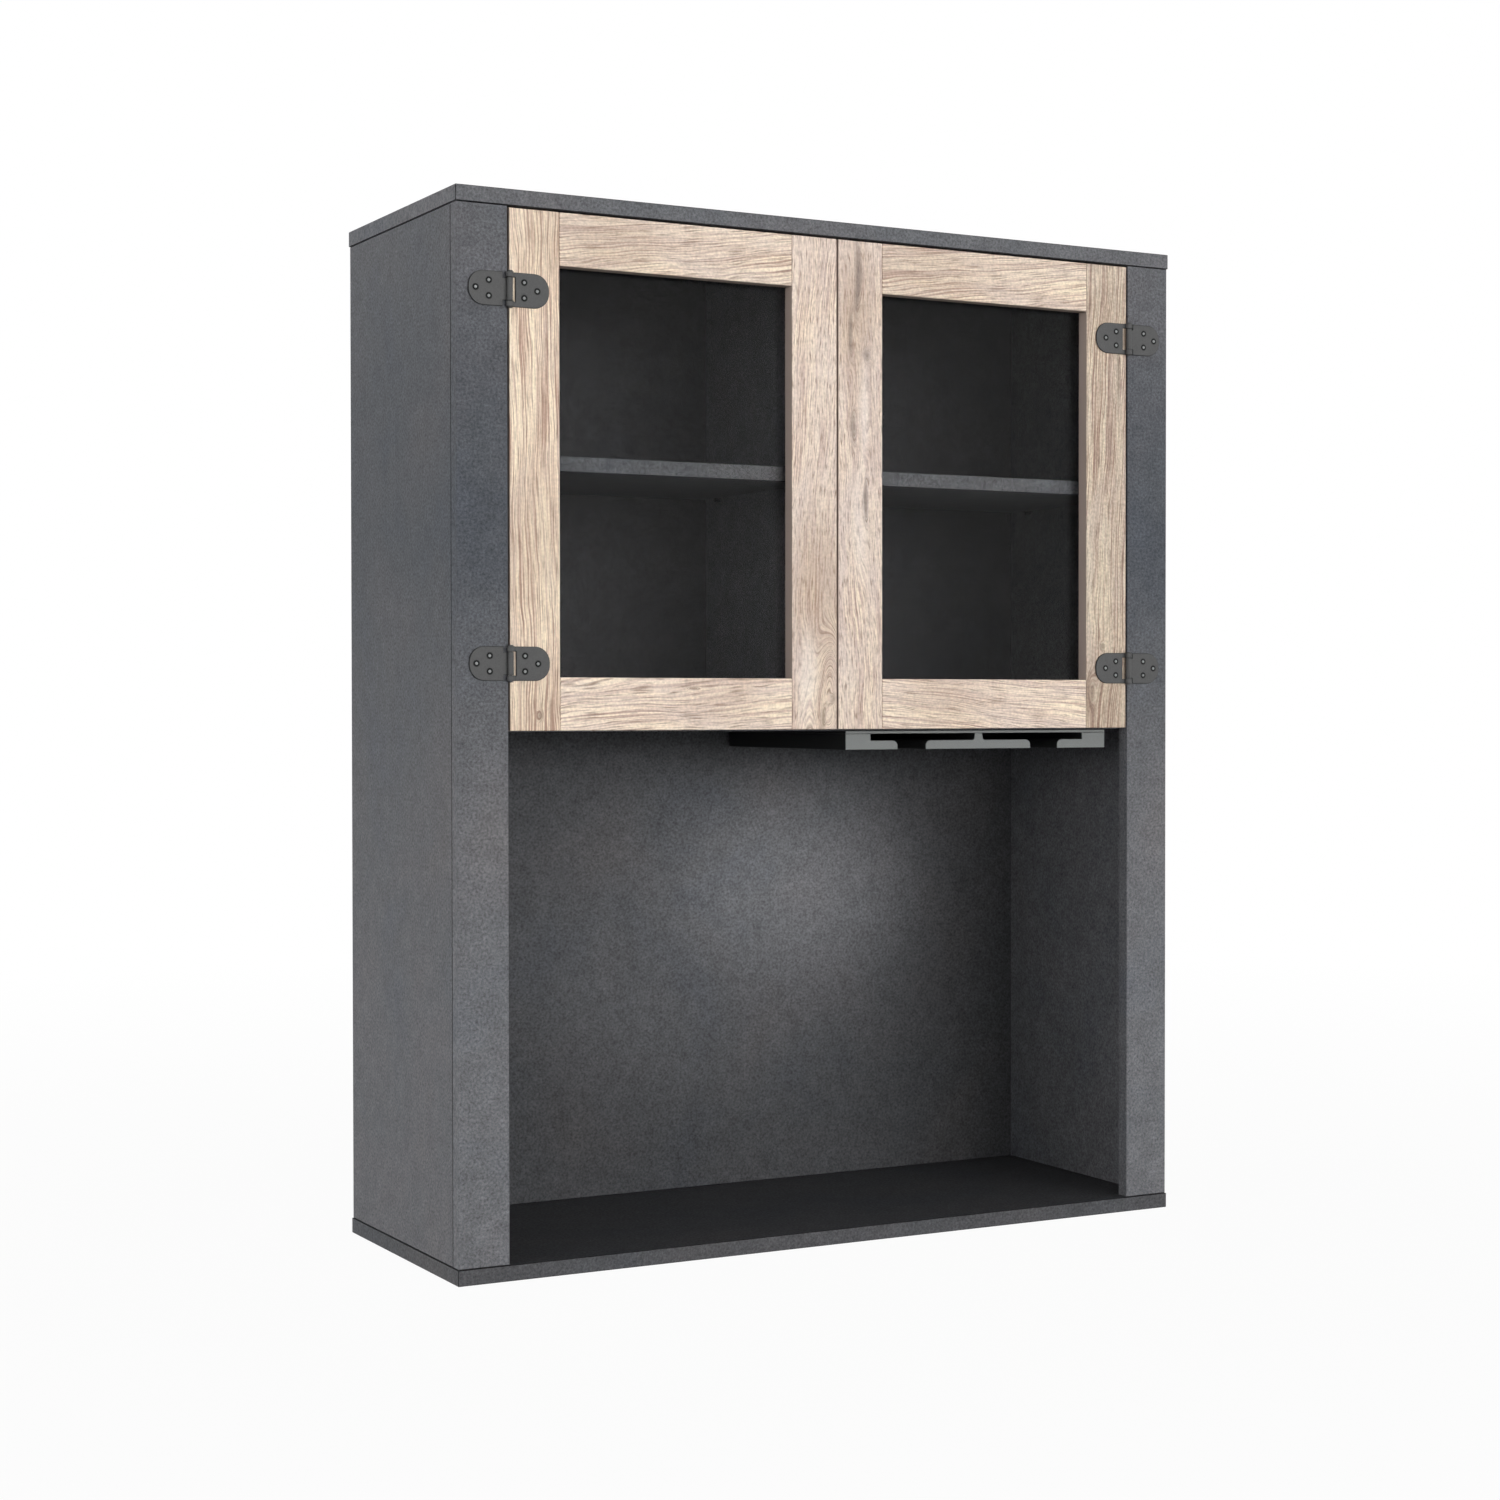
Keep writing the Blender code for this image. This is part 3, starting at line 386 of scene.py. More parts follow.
def oak_print(material, grown, ring, line_run, pore_run, veil):
    """The printed wood without its marks, then its lines, its growth and the mask of its pores."""
    lines = grain_noise(material, ring, LINE, line_run)
    bands = grain_noise(material, ring, BAND, BAND_RUN)
    pores = grain_noise(material, ring, PORE_WIDTH, pore_run, detail=1.0)
    patches = grain_noise(material, grown, *PATCH_SIZE, detail=3.0)
    fine = add_node(material, "Math", {0: lines, 1: LINE_SHARE}, operation="MULTIPLY")
    growth = add_node(material, "Math", {0: bands, 1: 1 - LINE_SHARE, 2: fine}, operation="MULTIPLY_ADD")
    wood = add_node(material, "ValToRGB", {"Fac": growth}, ((0.4, BROWN), (0.48, TAN), (0.56, CREAM)))
    rose = add_node(material, "MapRange", {
        "Value": patches, "From Min": 0.35, "From Max": 0.65,
        "To Min": veil - VEIL_SWING, "To Max": veil + VEIL_SWING})
    veiled = add_node(material, "Mix", {
        0: rose, MIX_A: wood, MIX_B: linear(GREY_ROSE)}, data_type="RGBA").outputs[MIX_RESULT]
    pore_mask = add_node(material, "MapRange", {
        "Value": pores, "From Min": 0.5, "From Max": 0.75, "To Min": 0.0, "To Max": 0.85})
    pored = add_node(material, "Mix", {
        0: pore_mask, MIX_A: veiled, MIX_B: linear(PORE_BROWN)}, data_type="RGBA").outputs[MIX_RESULT]
    return pored, lines, growth, pore_mask


print("oak print: fine lines", 2 * LINE, "mm apart in bands of", BAND, "mm")

# %% [markdown]
# ## Oak laminate on a member
#
# The laminate is pressed with a plate of small dimples, and the cut edges of the members are covered with
# a plain brown strip.  The dimples could be relief, but they are so small that the picture wouldn't show
# their shadows.  So their light and shade is painted into the colour as a fine mottle, and the relief is
# left to the lines and the pores.

# %% Oak laminate
DIMPLE_SIZE = (2.4, 3.0)  # mm across and along; coarser than the pressed ones, so that they show
EDGE_BROWN = "#b2a197"


def oak_laminate(name, box, level, grain, pith, tilt, tone, veil, marks):
    """Printed oak for one member of a door frame: warm and satin, a little duller in its brown lines.

    level is True for a rail.  grain is how far in mm a line and a pore run, and how much the dimples shade.
    pith is the tree's middle from the member's middle, across and deep, in mm, and tilt its lean in degrees.
    veil is how much rosy grey lies over the grain.
    """
    material, shader = new_material(name)
    line_run, pore_run, dimples = grain
    where = add_node(material, "TexCoord")
    grown = oak_grain(material, where.outputs["Object"], box, level)
    radius, stains = oak_marks(material, grown, ring_radius(material, grown, pith, tilt), marks)
    along = add_node(material, "SeparateXYZ", {"Vector": grown}).outputs["Z"]
    ring = add_node(material, "CombineXYZ", {"X": radius, "Z": along})
    face, lines, growth, pore_mask = oak_print(material, grown, ring, line_run, pore_run, veil)
    for spot, colour in stains:
        face = add_node(material, "Mix", {
            0: spot, MIX_A: face, MIX_B: linear(colour)}, data_type="RGBA").outputs[MIX_RESULT]
    hammer = grain_noise(material, grown, *DIMPLE_SIZE)
    # painted shade: the dimples lighten and darken the colour in place of their own shading
    light = add_node(material, "Math", {
        0: hammer, 1: dimples, 2: tone - dimples / 2}, operation="MULTIPLY_ADD")
    lit = add_node(material, "HueSaturation", {"Color": face, "Value": light})
    facing = add_node(material, "SeparateXYZ", {"Vector": where.outputs["Normal"]})
    sideways = add_node(material, "Math", {0: facing.outputs["Z" if level else "X"]}, operation="ABSOLUTE")
    edge = add_node(material, "Math", {0: sideways, 1: FACING}, operation="GREATER_THAN")
    face = add_node(material, "Mix", {
        0: edge, MIX_A: lit, MIX_B: linear(EDGE_BROWN)}, data_type="RGBA").outputs[MIX_RESULT]
    ridge = add_node(material, "Math", {0: pore_mask, 1: -1.0, 2: lines}, operation="MULTIPLY_ADD")
    relief = add_node(material, "Bump", {"Height": ridge, "Strength": 0.35, "Distance": 0.2 * MM})
    dullness = add_node(material, "MapRange", {"Value": growth, "To Min": 0.65, "To Max": 0.5})
    connect(material, shader, {
        "Base Color": face, "Roughness": dullness, "Normal": relief, "Specular IOR Level": 0.3})
    return material


print("dimples of", DIMPLE_SIZE, "mm, edge strips", EDGE_BROWN)

# %% [markdown]
# ## The door members
#
# Each of the eight members shows another piece of tree.  The hinge stiles and rails have long grain.  The
# meeting stiles have a shorter one, with pale flames, cracks and knots.  The marks could be strewn by
# chance, but a person who knows this cabinet looks for its large knots and cracks, so they are listed one
# by one, in millimetres from the member's middle.

# %% Dress the doors
LONG_GRAIN = (170, 26, 0.5)  # mm that a line and a pore run, and how much the dimples shade
DEEP_GRAIN = (170, 26, 0.75)
SHORT_GRAIN = (80, 13, 0.6)
KNOT = "#6f5a4c"
SHADE = "#a08672"
CRACK = "#6b5b57"
FLAME = "#f1e8e0"
MEMBERS = {  # level, grain, pith, tilt, tone, veil, marks
    "left_door_hinge_stile": (False, LONG_GRAIN, (143, 66), (1.0, 1.8, 0), 1.06, 0.0, (
        (0, -60, 60, 130, 0, SHADE, 0.25), (10, 222, 50, 70, 0, SHADE, 0.28),
        (0, -225, 60, 60, 0, SHADE, 0.2), (5, -228, 5, 9, 6, KNOT, 0.6))),
    "left_door_meeting_stile": (False, SHORT_GRAIN, (90, 75), (2.0, -1.0, 0), 1.08, 0.55, (
        (5, -105, 60, 140, 0, SHADE, 0.45), (-8, -185, 14, 85, 4, FLAME, 0.35),
        (19, -214, 30, 105, 38, SHADE, 0.15), (10, -231, 5, 20, 5, KNOT, 0.6),
        (21, -212, 7, 9, 5, KNOT, 0.5))),
    "left_door_top_rail": (True, DEEP_GRAIN, (-60, 50), (3.0, 5.0, 0), 1.03, 0.35, (
        (0, 75, 60, 100, 0, SHADE, 0.3),)),
    "left_door_bottom_rail": (True, DEEP_GRAIN, (60, 70), (-1.0, 2.0, 0), 1.12, 0.4, (
        (16, -15, 2.5, 12, 5, KNOT, 0.6), (0, -50, 50, 90, 0, SHADE, 0.2))),
    "right_door_meeting_stile": (False, SHORT_GRAIN, (-80, 90), (2.0, 1.0, 0), 1.06, 0.6, (
        (-6, 170, 40, 120, 0, SHADE, 0.45), (4, 75, 10, 90, 6, FLAME, 0.4),
        (0, -40, 12, 100, 5, FLAME, 0.3), (-5, 205, 7, 70, 8, CRACK, 0.7),
        (-11, 150, 4, 45, 4, CRACK, 0.6), (7, 130, 7, 11, 7, CRACK, 0.6),
        (-9, 58, 6, 34, 6, CRACK, 0.6), (8, -15, 4, 38, 5, CRACK, 0.75))),
    "right_door_top_rail": (True, DEEP_GRAIN, (-70, 60), (3.5, 4.0, 0), 1.01, 0.3, (
        (0, 75, 60, 110, 0, SHADE, 0.25),)),
    "right_door_bottom_rail": (True, DEEP_GRAIN, (-65, 45), (-3.0, -3.0, 0), 1.1, 0.4, (
        (0, 50, 50, 90, 0, SHADE, 0.25),)),
    "right_door_hinge_stile": (False, DEEP_GRAIN, (-110, 70), (1.5, -4.0, 0), 0.8, 0.1, (
        (16, 132, 4, 75, 5, KNOT, 0.5), (-6, -157, 5, 8, 6, KNOT, 0.5),
        (-18, -203, 10, 34, 7, KNOT, 0.4), (0, -215, 60, 80, 0, SHADE, 0.3),
        (0, 190, 60, 70, 0, SHADE, 0.2))),
}
for member, look in MEMBERS.items():
    dress(oak_laminate("oak_laminate_" + member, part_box(member), *look), member)
print(len(MEMBERS), "door members have the oak laminate")

# %% [markdown]
# ## Glass, plastic and metal
#
# The panes are float glass.  Behind each lies a bead of moulded black plastic, and plastic sleeves hold
# the magnets of the catches.  Plain colours would do at a distance, but no moulded, painted or plated skin
# is one flat colour.  So one function makes all but the glass: a fine noise varies the colour and the
# gloss, and raises a slight relief.


# %% Glass, plastic and metal
def fine_finish(name, dark, pale, grain, roughness, relief, metallic=0.0, shine=0.5):
    """A moulded, painted or plated skin: two close shades, gloss that wanders, and a fine relief.

    grain and relief are in mm, roughness is a low and a high value, and shine is the specular level.
    """
    material, shader = new_material(name)
    place = add_node(material, "TexCoord").outputs["Object"]
    noise = add_node(material, "TexNoise", {
        "Vector": place, "Scale": 1 / (grain * MM), "Detail": 4.0, "Roughness": 0.65})
    tint = add_node(material, "ValToRGB", {"Fac": noise}, ((0.3, dark), (0.7, pale)))
    gloss = add_node(material, "MapRange", {"Value": noise, "To Min": roughness[0], "To Max": roughness[1]})
    bump = add_node(material, "Bump", {"Height": noise, "Strength": 0.3, "Distance": relief * MM})
    connect(material, shader, {
        "Base Color": tint, "Roughness": gloss, "Normal": bump, "Metallic": metallic,
        "Specular IOR Level": shine})
    return material


# Float glass: clear and smooth.  The photograph shows hardly any reflection in the panes, so the IOR is
# lower than that of plain glass.
glass, shader = new_material("float_glass")
connect(glass, shader, {
    "Base Color": linear("#f6f6f6"), "Roughness": 0.0, "IOR": 1.18, "Transmission Weight": 1.0})
# Moulded plastic: near black, with a soft sheen on a finely pitted skin.
black_plastic = fine_finish(
    "moulded_black_abs", "#17181a", "#232426", grain=0.8, roughness=(0.45, 0.6), relief=0.05)
# Zinc plating: pale bright metal with a slightly cloudy gloss.
zinc = fine_finish(
    "zinc_plated_steel", "#a4a7aa", "#c4c6c8", grain=0.7, roughness=(0.28, 0.42), relief=0.02, metallic=1.0)
# Nickel plating: a darker and smoother metal than the zinc.
nickel = fine_finish(
    "nickel_plated_magnet", "#8d8f92", "#a9abad", grain=1.5, roughness=(0.2, 0.32), relief=0.01,
    metallic=1.0)

SIDES = {"left": -1, "right": 1}  # which way is outwards
for side in SIDES:
    dress(glass, side + "_door_pane")
    dress(black_plastic, side + "_door_pane_bead", side + "_catch_sleeve")
    dress(nickel, side + "_catch_magnet")
    dress(zinc, side + "_strike")
print("panes, beads, catches and strikes are finished")

# %% [markdown]
# ## Tools for new pieces
#
# The next pieces are made from scratch.  Their points could be listed one by one, but a bmesh operator says
# how the real piece is made.  Each starts from a few corners or a profile line, is spun or pushed into a
# solid, and then has its sharp edges softened, because a real edge always catches a little light.  A
# finished piece rides on the body of the piece that it stands for.

# %% Shaping helpers
SHARP = 35  # degrees; edges that turn by more are softened
SMOOTH = 40  # degrees; faces that meet at less are shaded as one surface
WELD = 0.0001  # mm


def soften(shape, width):
    """Round the sharp edges of a shape."""
    limit = math.radians(SHARP)
    sharp = [edge for edge in shape.edges if edge.is_manifold and edge.calc_face_angle() > limit]
    bmesh.ops.bevel(shape, geom=sharp, offset=width, segments=2, profile=0.5, affect="EDGES", material=-1)


def turned(profile, place, direction, steps=32, rounding=0.0):
    """Spin a line of (radius, distance along) points, all in mm, and stand it at a place."""
    shape = bmesh.new()
    points = [shape.verts.new((radius * MM, 0, along * MM)) for radius, along in profile]
    lines = [shape.edges.new(pair) for pair in zip(points, points[1:])]
    bmesh.ops.spin(
        shape, geom=points + lines, cent=(0, 0, 0), axis=(0, 0, 1), angle=math.tau, steps=steps,
        use_merge=True)
    bmesh.ops.remove_doubles(shape, verts=shape.verts, dist=WELD * MM)
    bmesh.ops.recalc_face_normals(shape, faces=shape.faces)
    if rounding:
        soften(shape, rounding * MM)
    turn = Vector(direction).to_track_quat("Z", "Y").to_matrix().to_4x4()
    bmesh.ops.transform(shape, matrix=Matrix.Translation(place) @ turn, verts=shape.verts)
    return shape


def gather(shapes):
    """Put several shapes into one."""
    whole = bmesh.new()
    for shape in shapes:
        mesh = bpy.data.meshes.new("part")
        shape.to_mesh(mesh)
        shape.free()
        whole.from_mesh(mesh)
        bpy.data.meshes.remove(mesh)
    return whole


def finished_piece(name, shape, materials, slot, *stands_for):
    """Make the shape an object that takes the place of CAD pieces."""
    mesh = bpy.data.meshes.new(name)
    shape.to_mesh(mesh)
    shape.free()
    for material in materials:
        mesh.materials.append(material)
    mesh.shade_smooth()
    mesh.set_sharp_from_angle(angle=math.radians(SMOOTH))
    piece = bpy.data.objects.new(name, mesh)
    bpy.context.scene.collection.objects.link(piece)
    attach(piece, nodes[stands_for[0]]["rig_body"])
    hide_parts(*stands_for)


def middle_of(node):
    """The middle of a CAD piece's box."""
    low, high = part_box(node)
    return (low + high) / 2


print("edges that turn by more than", SHARP, "degrees are softened")

# %% [markdown]
# ## Hinge leaves
#
# Each hinge is a pair of stamped steel leaves, screwed on the face of the cabinet.  A leaf could be cut out
# of a plate with booleans, but stamping is nearer to drawing: eight corners, of which the two far ones are
# rounded into the D-shaped end.  Screw holes are circles in the same plane, and filling between outline and
# circles leaves them open.  The sheet is pushed to its thickness, and then each hole is widened at the face
# into a countersink.  The countersink takes the nearly black edge paint and the screw's cone in it is
# painted black, so together they show as a dark ring round every screw: a painted shadow ring.

# %% Leaf sheet
LEAF_END = 40.0  # mm from the pin's axis
LEAF_HALF_HEIGHT = 16.0
LEAF_THICKNESS = 1.6
LEAF_CORNER = 14.8
LEAF_ROUND = 0.45
TAB_ROOT = 1.75  # where a tab ends inside its knuckle
NOTCH = 6.3  # the leaf's edge beside the other leaf's knuckle
MIDDLE_KNUCKLE = 10.7  # half its height
OUTER_KNUCKLE = 11.0  # where the outer knuckles start
TAB_INSET = 0.25
SEAT = 2.9  # radius of a countersink at the face
SEAT_FOOT = 1.7
HOLE_REACH = SEAT_FOOT + 0.1  # the corners of a hole lie within this
FLAT = 0.98  # the flats of a sheet face up or down by more than this, and its rims by less
FRAME_SCREWS = ((20, 7.25), (20, -7.25), (33, 0))
DOOR_SCREWS = ((15, 7.25), (15, -7.25), (28, 0))
middle_tab = MIDDLE_KNUCKLE - TAB_INSET
outer_tab = OUTER_KNUCKLE + TAB_INSET
FRAME_CORNERS = (
    (NOTCH, LEAF_HALF_HEIGHT), (NOTCH, middle_tab), (TAB_ROOT, middle_tab), (TAB_ROOT, -middle_tab),
    (NOTCH, -middle_tab), (NOTCH, -LEAF_HALF_HEIGHT))
DOOR_CORNERS = (
    (TAB_ROOT, LEAF_HALF_HEIGHT), (TAB_ROOT, outer_tab), (NOTCH, outer_tab), (NOTCH, -outer_tab),
    (TAB_ROOT, -outer_tab), (TAB_ROOT, -LEAF_HALF_HEIGHT))


def leaf_sheet(corners, screws):
    """The flat of a leaf in the XY plane, its face up, with countersinks and rims of a second material."""
    shape = bmesh.new()
    near = [shape.verts.new((x * MM, y * MM, 0)) for x, y in corners]
    far = [shape.verts.new((LEAF_END * MM, y * MM, 0)) for y in (-LEAF_HALF_HEIGHT, LEAF_HALF_HEIGHT)]
    shape.faces.new(near + far)
    bmesh.ops.bevel(
        shape, geom=far, offset=LEAF_CORNER * MM, segments=10, profile=0.5, affect="VERTICES", material=-1)
    bmesh.ops.delete(shape, geom=shape.faces[:], context="FACES_ONLY")
    for x, y in screws:
        bmesh.ops.create_circle(
            shape, segments=24, radius=SEAT_FOOT * MM, matrix=Matrix.Translation((x * MM, y * MM, 0)))
    filled = bmesh.ops.triangle_fill(shape, edges=shape.edges[:], use_beauty=True)
    flat = [item for item in filled["geom"] if isinstance(item, bmesh.types.BMFace)]
    pushed = bmesh.ops.extrude_face_region(shape, geom=flat)["geom"]
    top = [item for item in pushed if isinstance(item, bmesh.types.BMVert)]
    bmesh.ops.translate(shape, vec=(0, 0, LEAF_THICKNESS * MM), verts=top)
    for x, y in screws:
        rim = [vert for vert in top if (vert.co.xy - Vector((x, y)) * MM).length < HOLE_REACH * MM]
        bmesh.ops.scale(
            shape, vec=(SEAT / SEAT_FOOT, SEAT / SEAT_FOOT, 1), verts=rim,
            space=Matrix.Translation((-x * MM, -y * MM, 0)))
    bmesh.ops.recalc_face_normals(shape, faces=shape.faces)
    soften(shape, LEAF_ROUND * MM)
    shape.normal_update()
    for face in shape.faces:
        # painted shade: rims, notches and countersinks take the nearly black edge paint
        face.material_index = int(abs(face.normal.z) < FLAT)
    return shape


print("leaf", LEAF_END, "mm long and", 2 * LEAF_HALF_HEIGHT, "mm high, with", len(FRAME_SCREWS), "holes")

# %% [markdown]
# ## Knuckles
#
# On a real hinge the knuckles are rolled from the tabs of the leaf: one in the middle on the frame leaf,
# two outside on the door leaf.  Rolling a strip would leave a seam that nobody sees.  So a knuckle is a
# tube, spun from a closed profile, and the pin really passes through it.  A leaf that points the other way
# is mirrored, which turns its faces inside out, so they are reversed.

# %% Whole leaves
BARREL = 3.5  # mm, radius of the outer knuckles
MIDDLE_BARREL = 2.8
BORE = 1.9
KNUCKLE_END = 16.25
KNUCKLE_ROUND = 0.3
KNUCKLE_RIM = 0.3  # the rims of a knuckle face up or down by more than this
FRAME_KNUCKLES = ((-MIDDLE_KNUCKLE, MIDDLE_KNUCKLE, MIDDLE_BARREL),)
DOOR_KNUCKLES = ((OUTER_KNUCKLE, KNUCKLE_END, BARREL), (-KNUCKLE_END, -OUTER_KNUCKLE, BARREL))


def knuckle(low, high, barrel):
    """A tube round the pin, with rounded rims of a second material."""
    shape = bmesh.new()
    corners = ((BORE, low), (barrel, low), (barrel, high), (BORE, high))
    points = [shape.verts.new((radius * MM, 0, z * MM)) for radius, z in corners]
    lines = [shape.edges.new((points[index - 1], points[index])) for index in range(len(points))]
    bmesh.ops.spin(
        shape, geom=points + lines, cent=(0, 0, 0), axis=(0, 0, 1), angle=math.tau, steps=40, use_merge=True)
    bmesh.ops.recalc_face_normals(shape, faces=shape.faces)
    soften(shape, KNUCKLE_ROUND * MM)
    shape.normal_update()
    for face in shape.faces:
        # painted shade: the ends of each knuckle take the nearly black edge paint, for the dark gaps between
        # knuckles
        face.material_index = int(abs(face.normal.z) > KNUCKLE_RIM)
    return shape


def hinge_leaf(corners, screws, knuckles, mirrored):
    """A leaf with its pin on the Z axis, its flat towards +X, or -X where mirrored, and its face to -Y."""
    flat = leaf_sheet(corners, screws)
    upright = Matrix.Rotation(math.radians(90), 3, "X")
    bmesh.ops.rotate(flat, cent=(0, 0, 0), matrix=upright, verts=flat.verts)
    bmesh.ops.translate(flat, vec=(0, BARREL * MM, 0), verts=flat.verts)
    whole = gather([flat] + [knuckle(*sizes) for sizes in knuckles])
    if mirrored:
        half_turn = Matrix.Rotation(math.pi, 3, "Z")
        bmesh.ops.rotate(whole, cent=(0, 0, 0), matrix=half_turn, verts=whole.verts)
        bmesh.ops.scale(whole, vec=(1, -1, 1), verts=whole.verts)
        bmesh.ops.reverse_faces(whole, faces=whole.faces)
    return whole


print("knuckles", 2 * BARREL, "mm thick outside and", 2 * MIDDLE_BARREL, "mm in the middle")

# %% [markdown]
# ## Hinge screws and finishes
#
# The leaves are powder-coated dark grey.  Their rims, notches and countersinks, and the ends of the
# knuckles, are painted nearly black: painted shade that draws the outline of each leaf, where shadow falls
# along its edges.  The screws are raised countersunk ones.  The cone under each head is painted black as a
# painted shadow ring.  The dome is paler than the leaf, partly because the driver burnished it and partly
# as a painted highlight, so it catches a point of light.  A flat disc would miss that point, so a dome is a
# short arc spun round the screw's axis.

# %% Hinge screws
# Powder coat: an even dark grey with a fine orange peel that spreads the light.
paint = fine_finish(
    "powder_coated_hinge_steel", "#4b4b4b", "#565656", grain=1.3, roughness=(0.45, 0.6), relief=0.06,
    shine=0.3)
# The same powder, painted nearly black on rims, notches and countersinks: painted shade, so that they read
# as dark lines where shadow falls.
edge_shade_paint = fine_finish(
    "powder_coat_painted_edge_shade", "#262727", "#303131", grain=1.3, roughness=(0.45, 0.6), relief=0.06,
    shine=0.3)
# Painted shadow: a screw's cone is painted near black, so it reads as the dark ring of shadow round the
# head.
black_painted_shadow = fine_finish(
    "black_painted_shadow_steel", "#0f1010", "#1a1b1b", grain=0.9, roughness=(0.4, 0.55), relief=0.02, shine=0.15)
# Burnished steel on the dome: grey, partly bare metal, and painted paler than the leaf as a painted
# highlight.
burnished = fine_finish(
    "burnished_screw_steel", "#8f9191", "#a3a5a5", grain=0.9, roughness=(0.3, 0.42), relief=0.02,
    metallic=0.4)

DOME_RADIUS = 1.45  # mm
DOME_HEIGHT = 0.9
HEAD_RADIUS = 2.75
HEAD_SINK = 0.25  # the head's rim below the leaf's face
CONE_DEPTH = 1.3
CONE_FOOT = 1.5


def screw_dome(place):
    """The head of a raised countersunk screw, looking towards -Y: a black cone with a burnished dome."""
    arc = [math.radians(angle) for angle in (0, 18, 36, 54, 72, 90)]
    dome = [(DOME_RADIUS * math.sin(angle), DOME_HEIGHT * math.cos(angle)) for angle in arc]
    cone = [(HEAD_RADIUS, -HEAD_SINK), (CONE_FOOT, -CONE_DEPTH), (0, -CONE_DEPTH)]
    head = turned(dome + cone, place, (0, -1, 0), steps=24)
    for face in head.faces:
        off_axis = face.calc_center_median() - Vector(place)
        # the dome takes the paler steel, partly a painted highlight, and the cone takes the black painted
        # shadow
        face.material_index = int(off_axis.xz.length > DOME_RADIUS * MM)
    return head


print("screw heads", 2 * HEAD_RADIUS, "mm wide with domes of", 2 * DOME_RADIUS, "mm")

# %% [markdown]
# ## The four hinges
#
# A hinge is a frame leaf, a door leaf, their screws and a pin with a head at each end, painted with the
# leaves.  One hinge could be modelled in place and copied, but copies would have to be moved, and a
# finished piece stays at the origin.  So each hinge is built round its own pin, whose place is read from
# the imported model.  The door leaf and the pin ride with the door, and the frame leaf stays on the cabinet.

# %% Build the four hinges
PIN_SEAT = 16.55  # mm from the pin's middle
PIN_TIP = 17.35
PIN_RADIUS = 1.6
PIN_HEAD = 2.5
PIN_ROUND = 0.25

for side, sign in SIDES.items():
    for height in ("upper", "lower"):
        hinge = f"{side}_{height}_hinge"
        axis = middle_of(hinge + "_pin")
        leaf_face_y = axis.y + (BARREL - LEAF_THICKNESS) * MM
        for kind, corners, screws, knuckles, way in (
                ("frame", FRAME_CORNERS, FRAME_SCREWS, FRAME_KNUCKLES, sign),
                ("door", DOOR_CORNERS, DOOR_SCREWS, DOOR_KNUCKLES, -sign)):
            node = f"{hinge}_{kind}_leaf"
            leaf = hinge_leaf(corners, screws, knuckles, way < 0)
            bmesh.ops.translate(leaf, vec=axis, verts=leaf.verts)
            finished_piece(f"{hinge}_{kind}_plate", leaf, [paint, edge_shade_paint], "hinge_paint", node)
            domes = [screw_dome((axis.x + way * x * MM, leaf_face_y, axis.z + z * MM)) for x, z in screws]
            finished_piece(
                f"{hinge}_{kind}_screws", gather(domes), [burnished, black_painted_shadow], "zinc_steel", node)
        half = [(PIN_RADIUS, PIN_SEAT), (PIN_HEAD, PIN_SEAT), (PIN_HEAD, PIN_TIP), (0, PIN_TIP)]
        line = [(radius, -along) for radius, along in reversed(half)] + half
        pin = turned(line, axis, (0, 0, 1), rounding=PIN_ROUND)
        finished_piece(hinge + "_round_pin", pin, [paint], "hinge_pin_steel", hinge + "_pin")
print("4 hinges with", 4 * len(FRAME_SCREWS + DOOR_SCREWS), "screws")

# %% [markdown]
# ## Rack mouldings
#
# The rack under the right compartment is made of fibreboard mouldings, lacquered black along their length
# and left grey where the saw cut their ends.  A moulding could be a bevelled curve, but it is a straight
# push of one cross-section, as it leaves the router.  So a section is drawn with a few corners,
# rounded where the router rounded it, and pushed from front to back.  The end faces get the second
# material, and a fine chamfer round them makes the pale rim that a cut edge shows.

# %% Moulding tool
END_CHAMFER = 0.4  # mm

# Lacquered fibreboard: black and smooth, with broad soft reflections.
lacquer = fine_finish(
    "black_lacquered_fibreboard", "#181919", "#232424", grain=1.6, roughness=(0.3, 0.42), relief=0.04)
# Sawn fibreboard: dry mid grey that hardly mirrors, so the rail's profile stands out.
sawn = fine_finish(
    "sawn_grey_fibreboard", "#696c6b", "#7b7e7d", grain=0.9, roughness=(0.55, 0.7), relief=0.1)


def moulding(corners, rounded, run, place):
    """Push a cross-section of (x, z) corners, in mm, along Y.

    rounded lists corner numbers with their radius, and run is where the piece starts and ends.
    """
    shape = bmesh.new()
    points = [shape.verts.new((place.x + x * MM, run[0], place.z + z * MM)) for x, z in corners]
    shape.faces.new(points)
    for numbers, radius in rounded:
        bmesh.ops.bevel(
            shape, geom=[points[number] for number in numbers], offset=radius * MM, segments=6, profile=0.5,
            affect="VERTICES", material=-1)
    pushed = bmesh.ops.extrude_face_region(shape, geom=shape.faces[:])["geom"]
    back = [item for item in pushed if isinstance(item, bmesh.types.BMVert)]
    bmesh.ops.translate(shape, vec=(0, run[1] - run[0], 0), verts=back)
    bmesh.ops.recalc_face_normals(shape, faces=shape.faces)
    ends = [face for face in shape.faces if abs(face.normal.y) > FACING]
    for face in ends:
        face.material_index = 1
    rims = list({edge for face in ends for edge in face.edges})
    # The chamfers take the sawn material, so this bevel names it.
    bmesh.ops.bevel(
        shape, geom=rims, offset=END_CHAMFER * MM, segments=1, profile=0.5, affect="EDGES", material=1)
    return shape


print("ends of mouldings have chamfers of", END_CHAMFER, "mm")

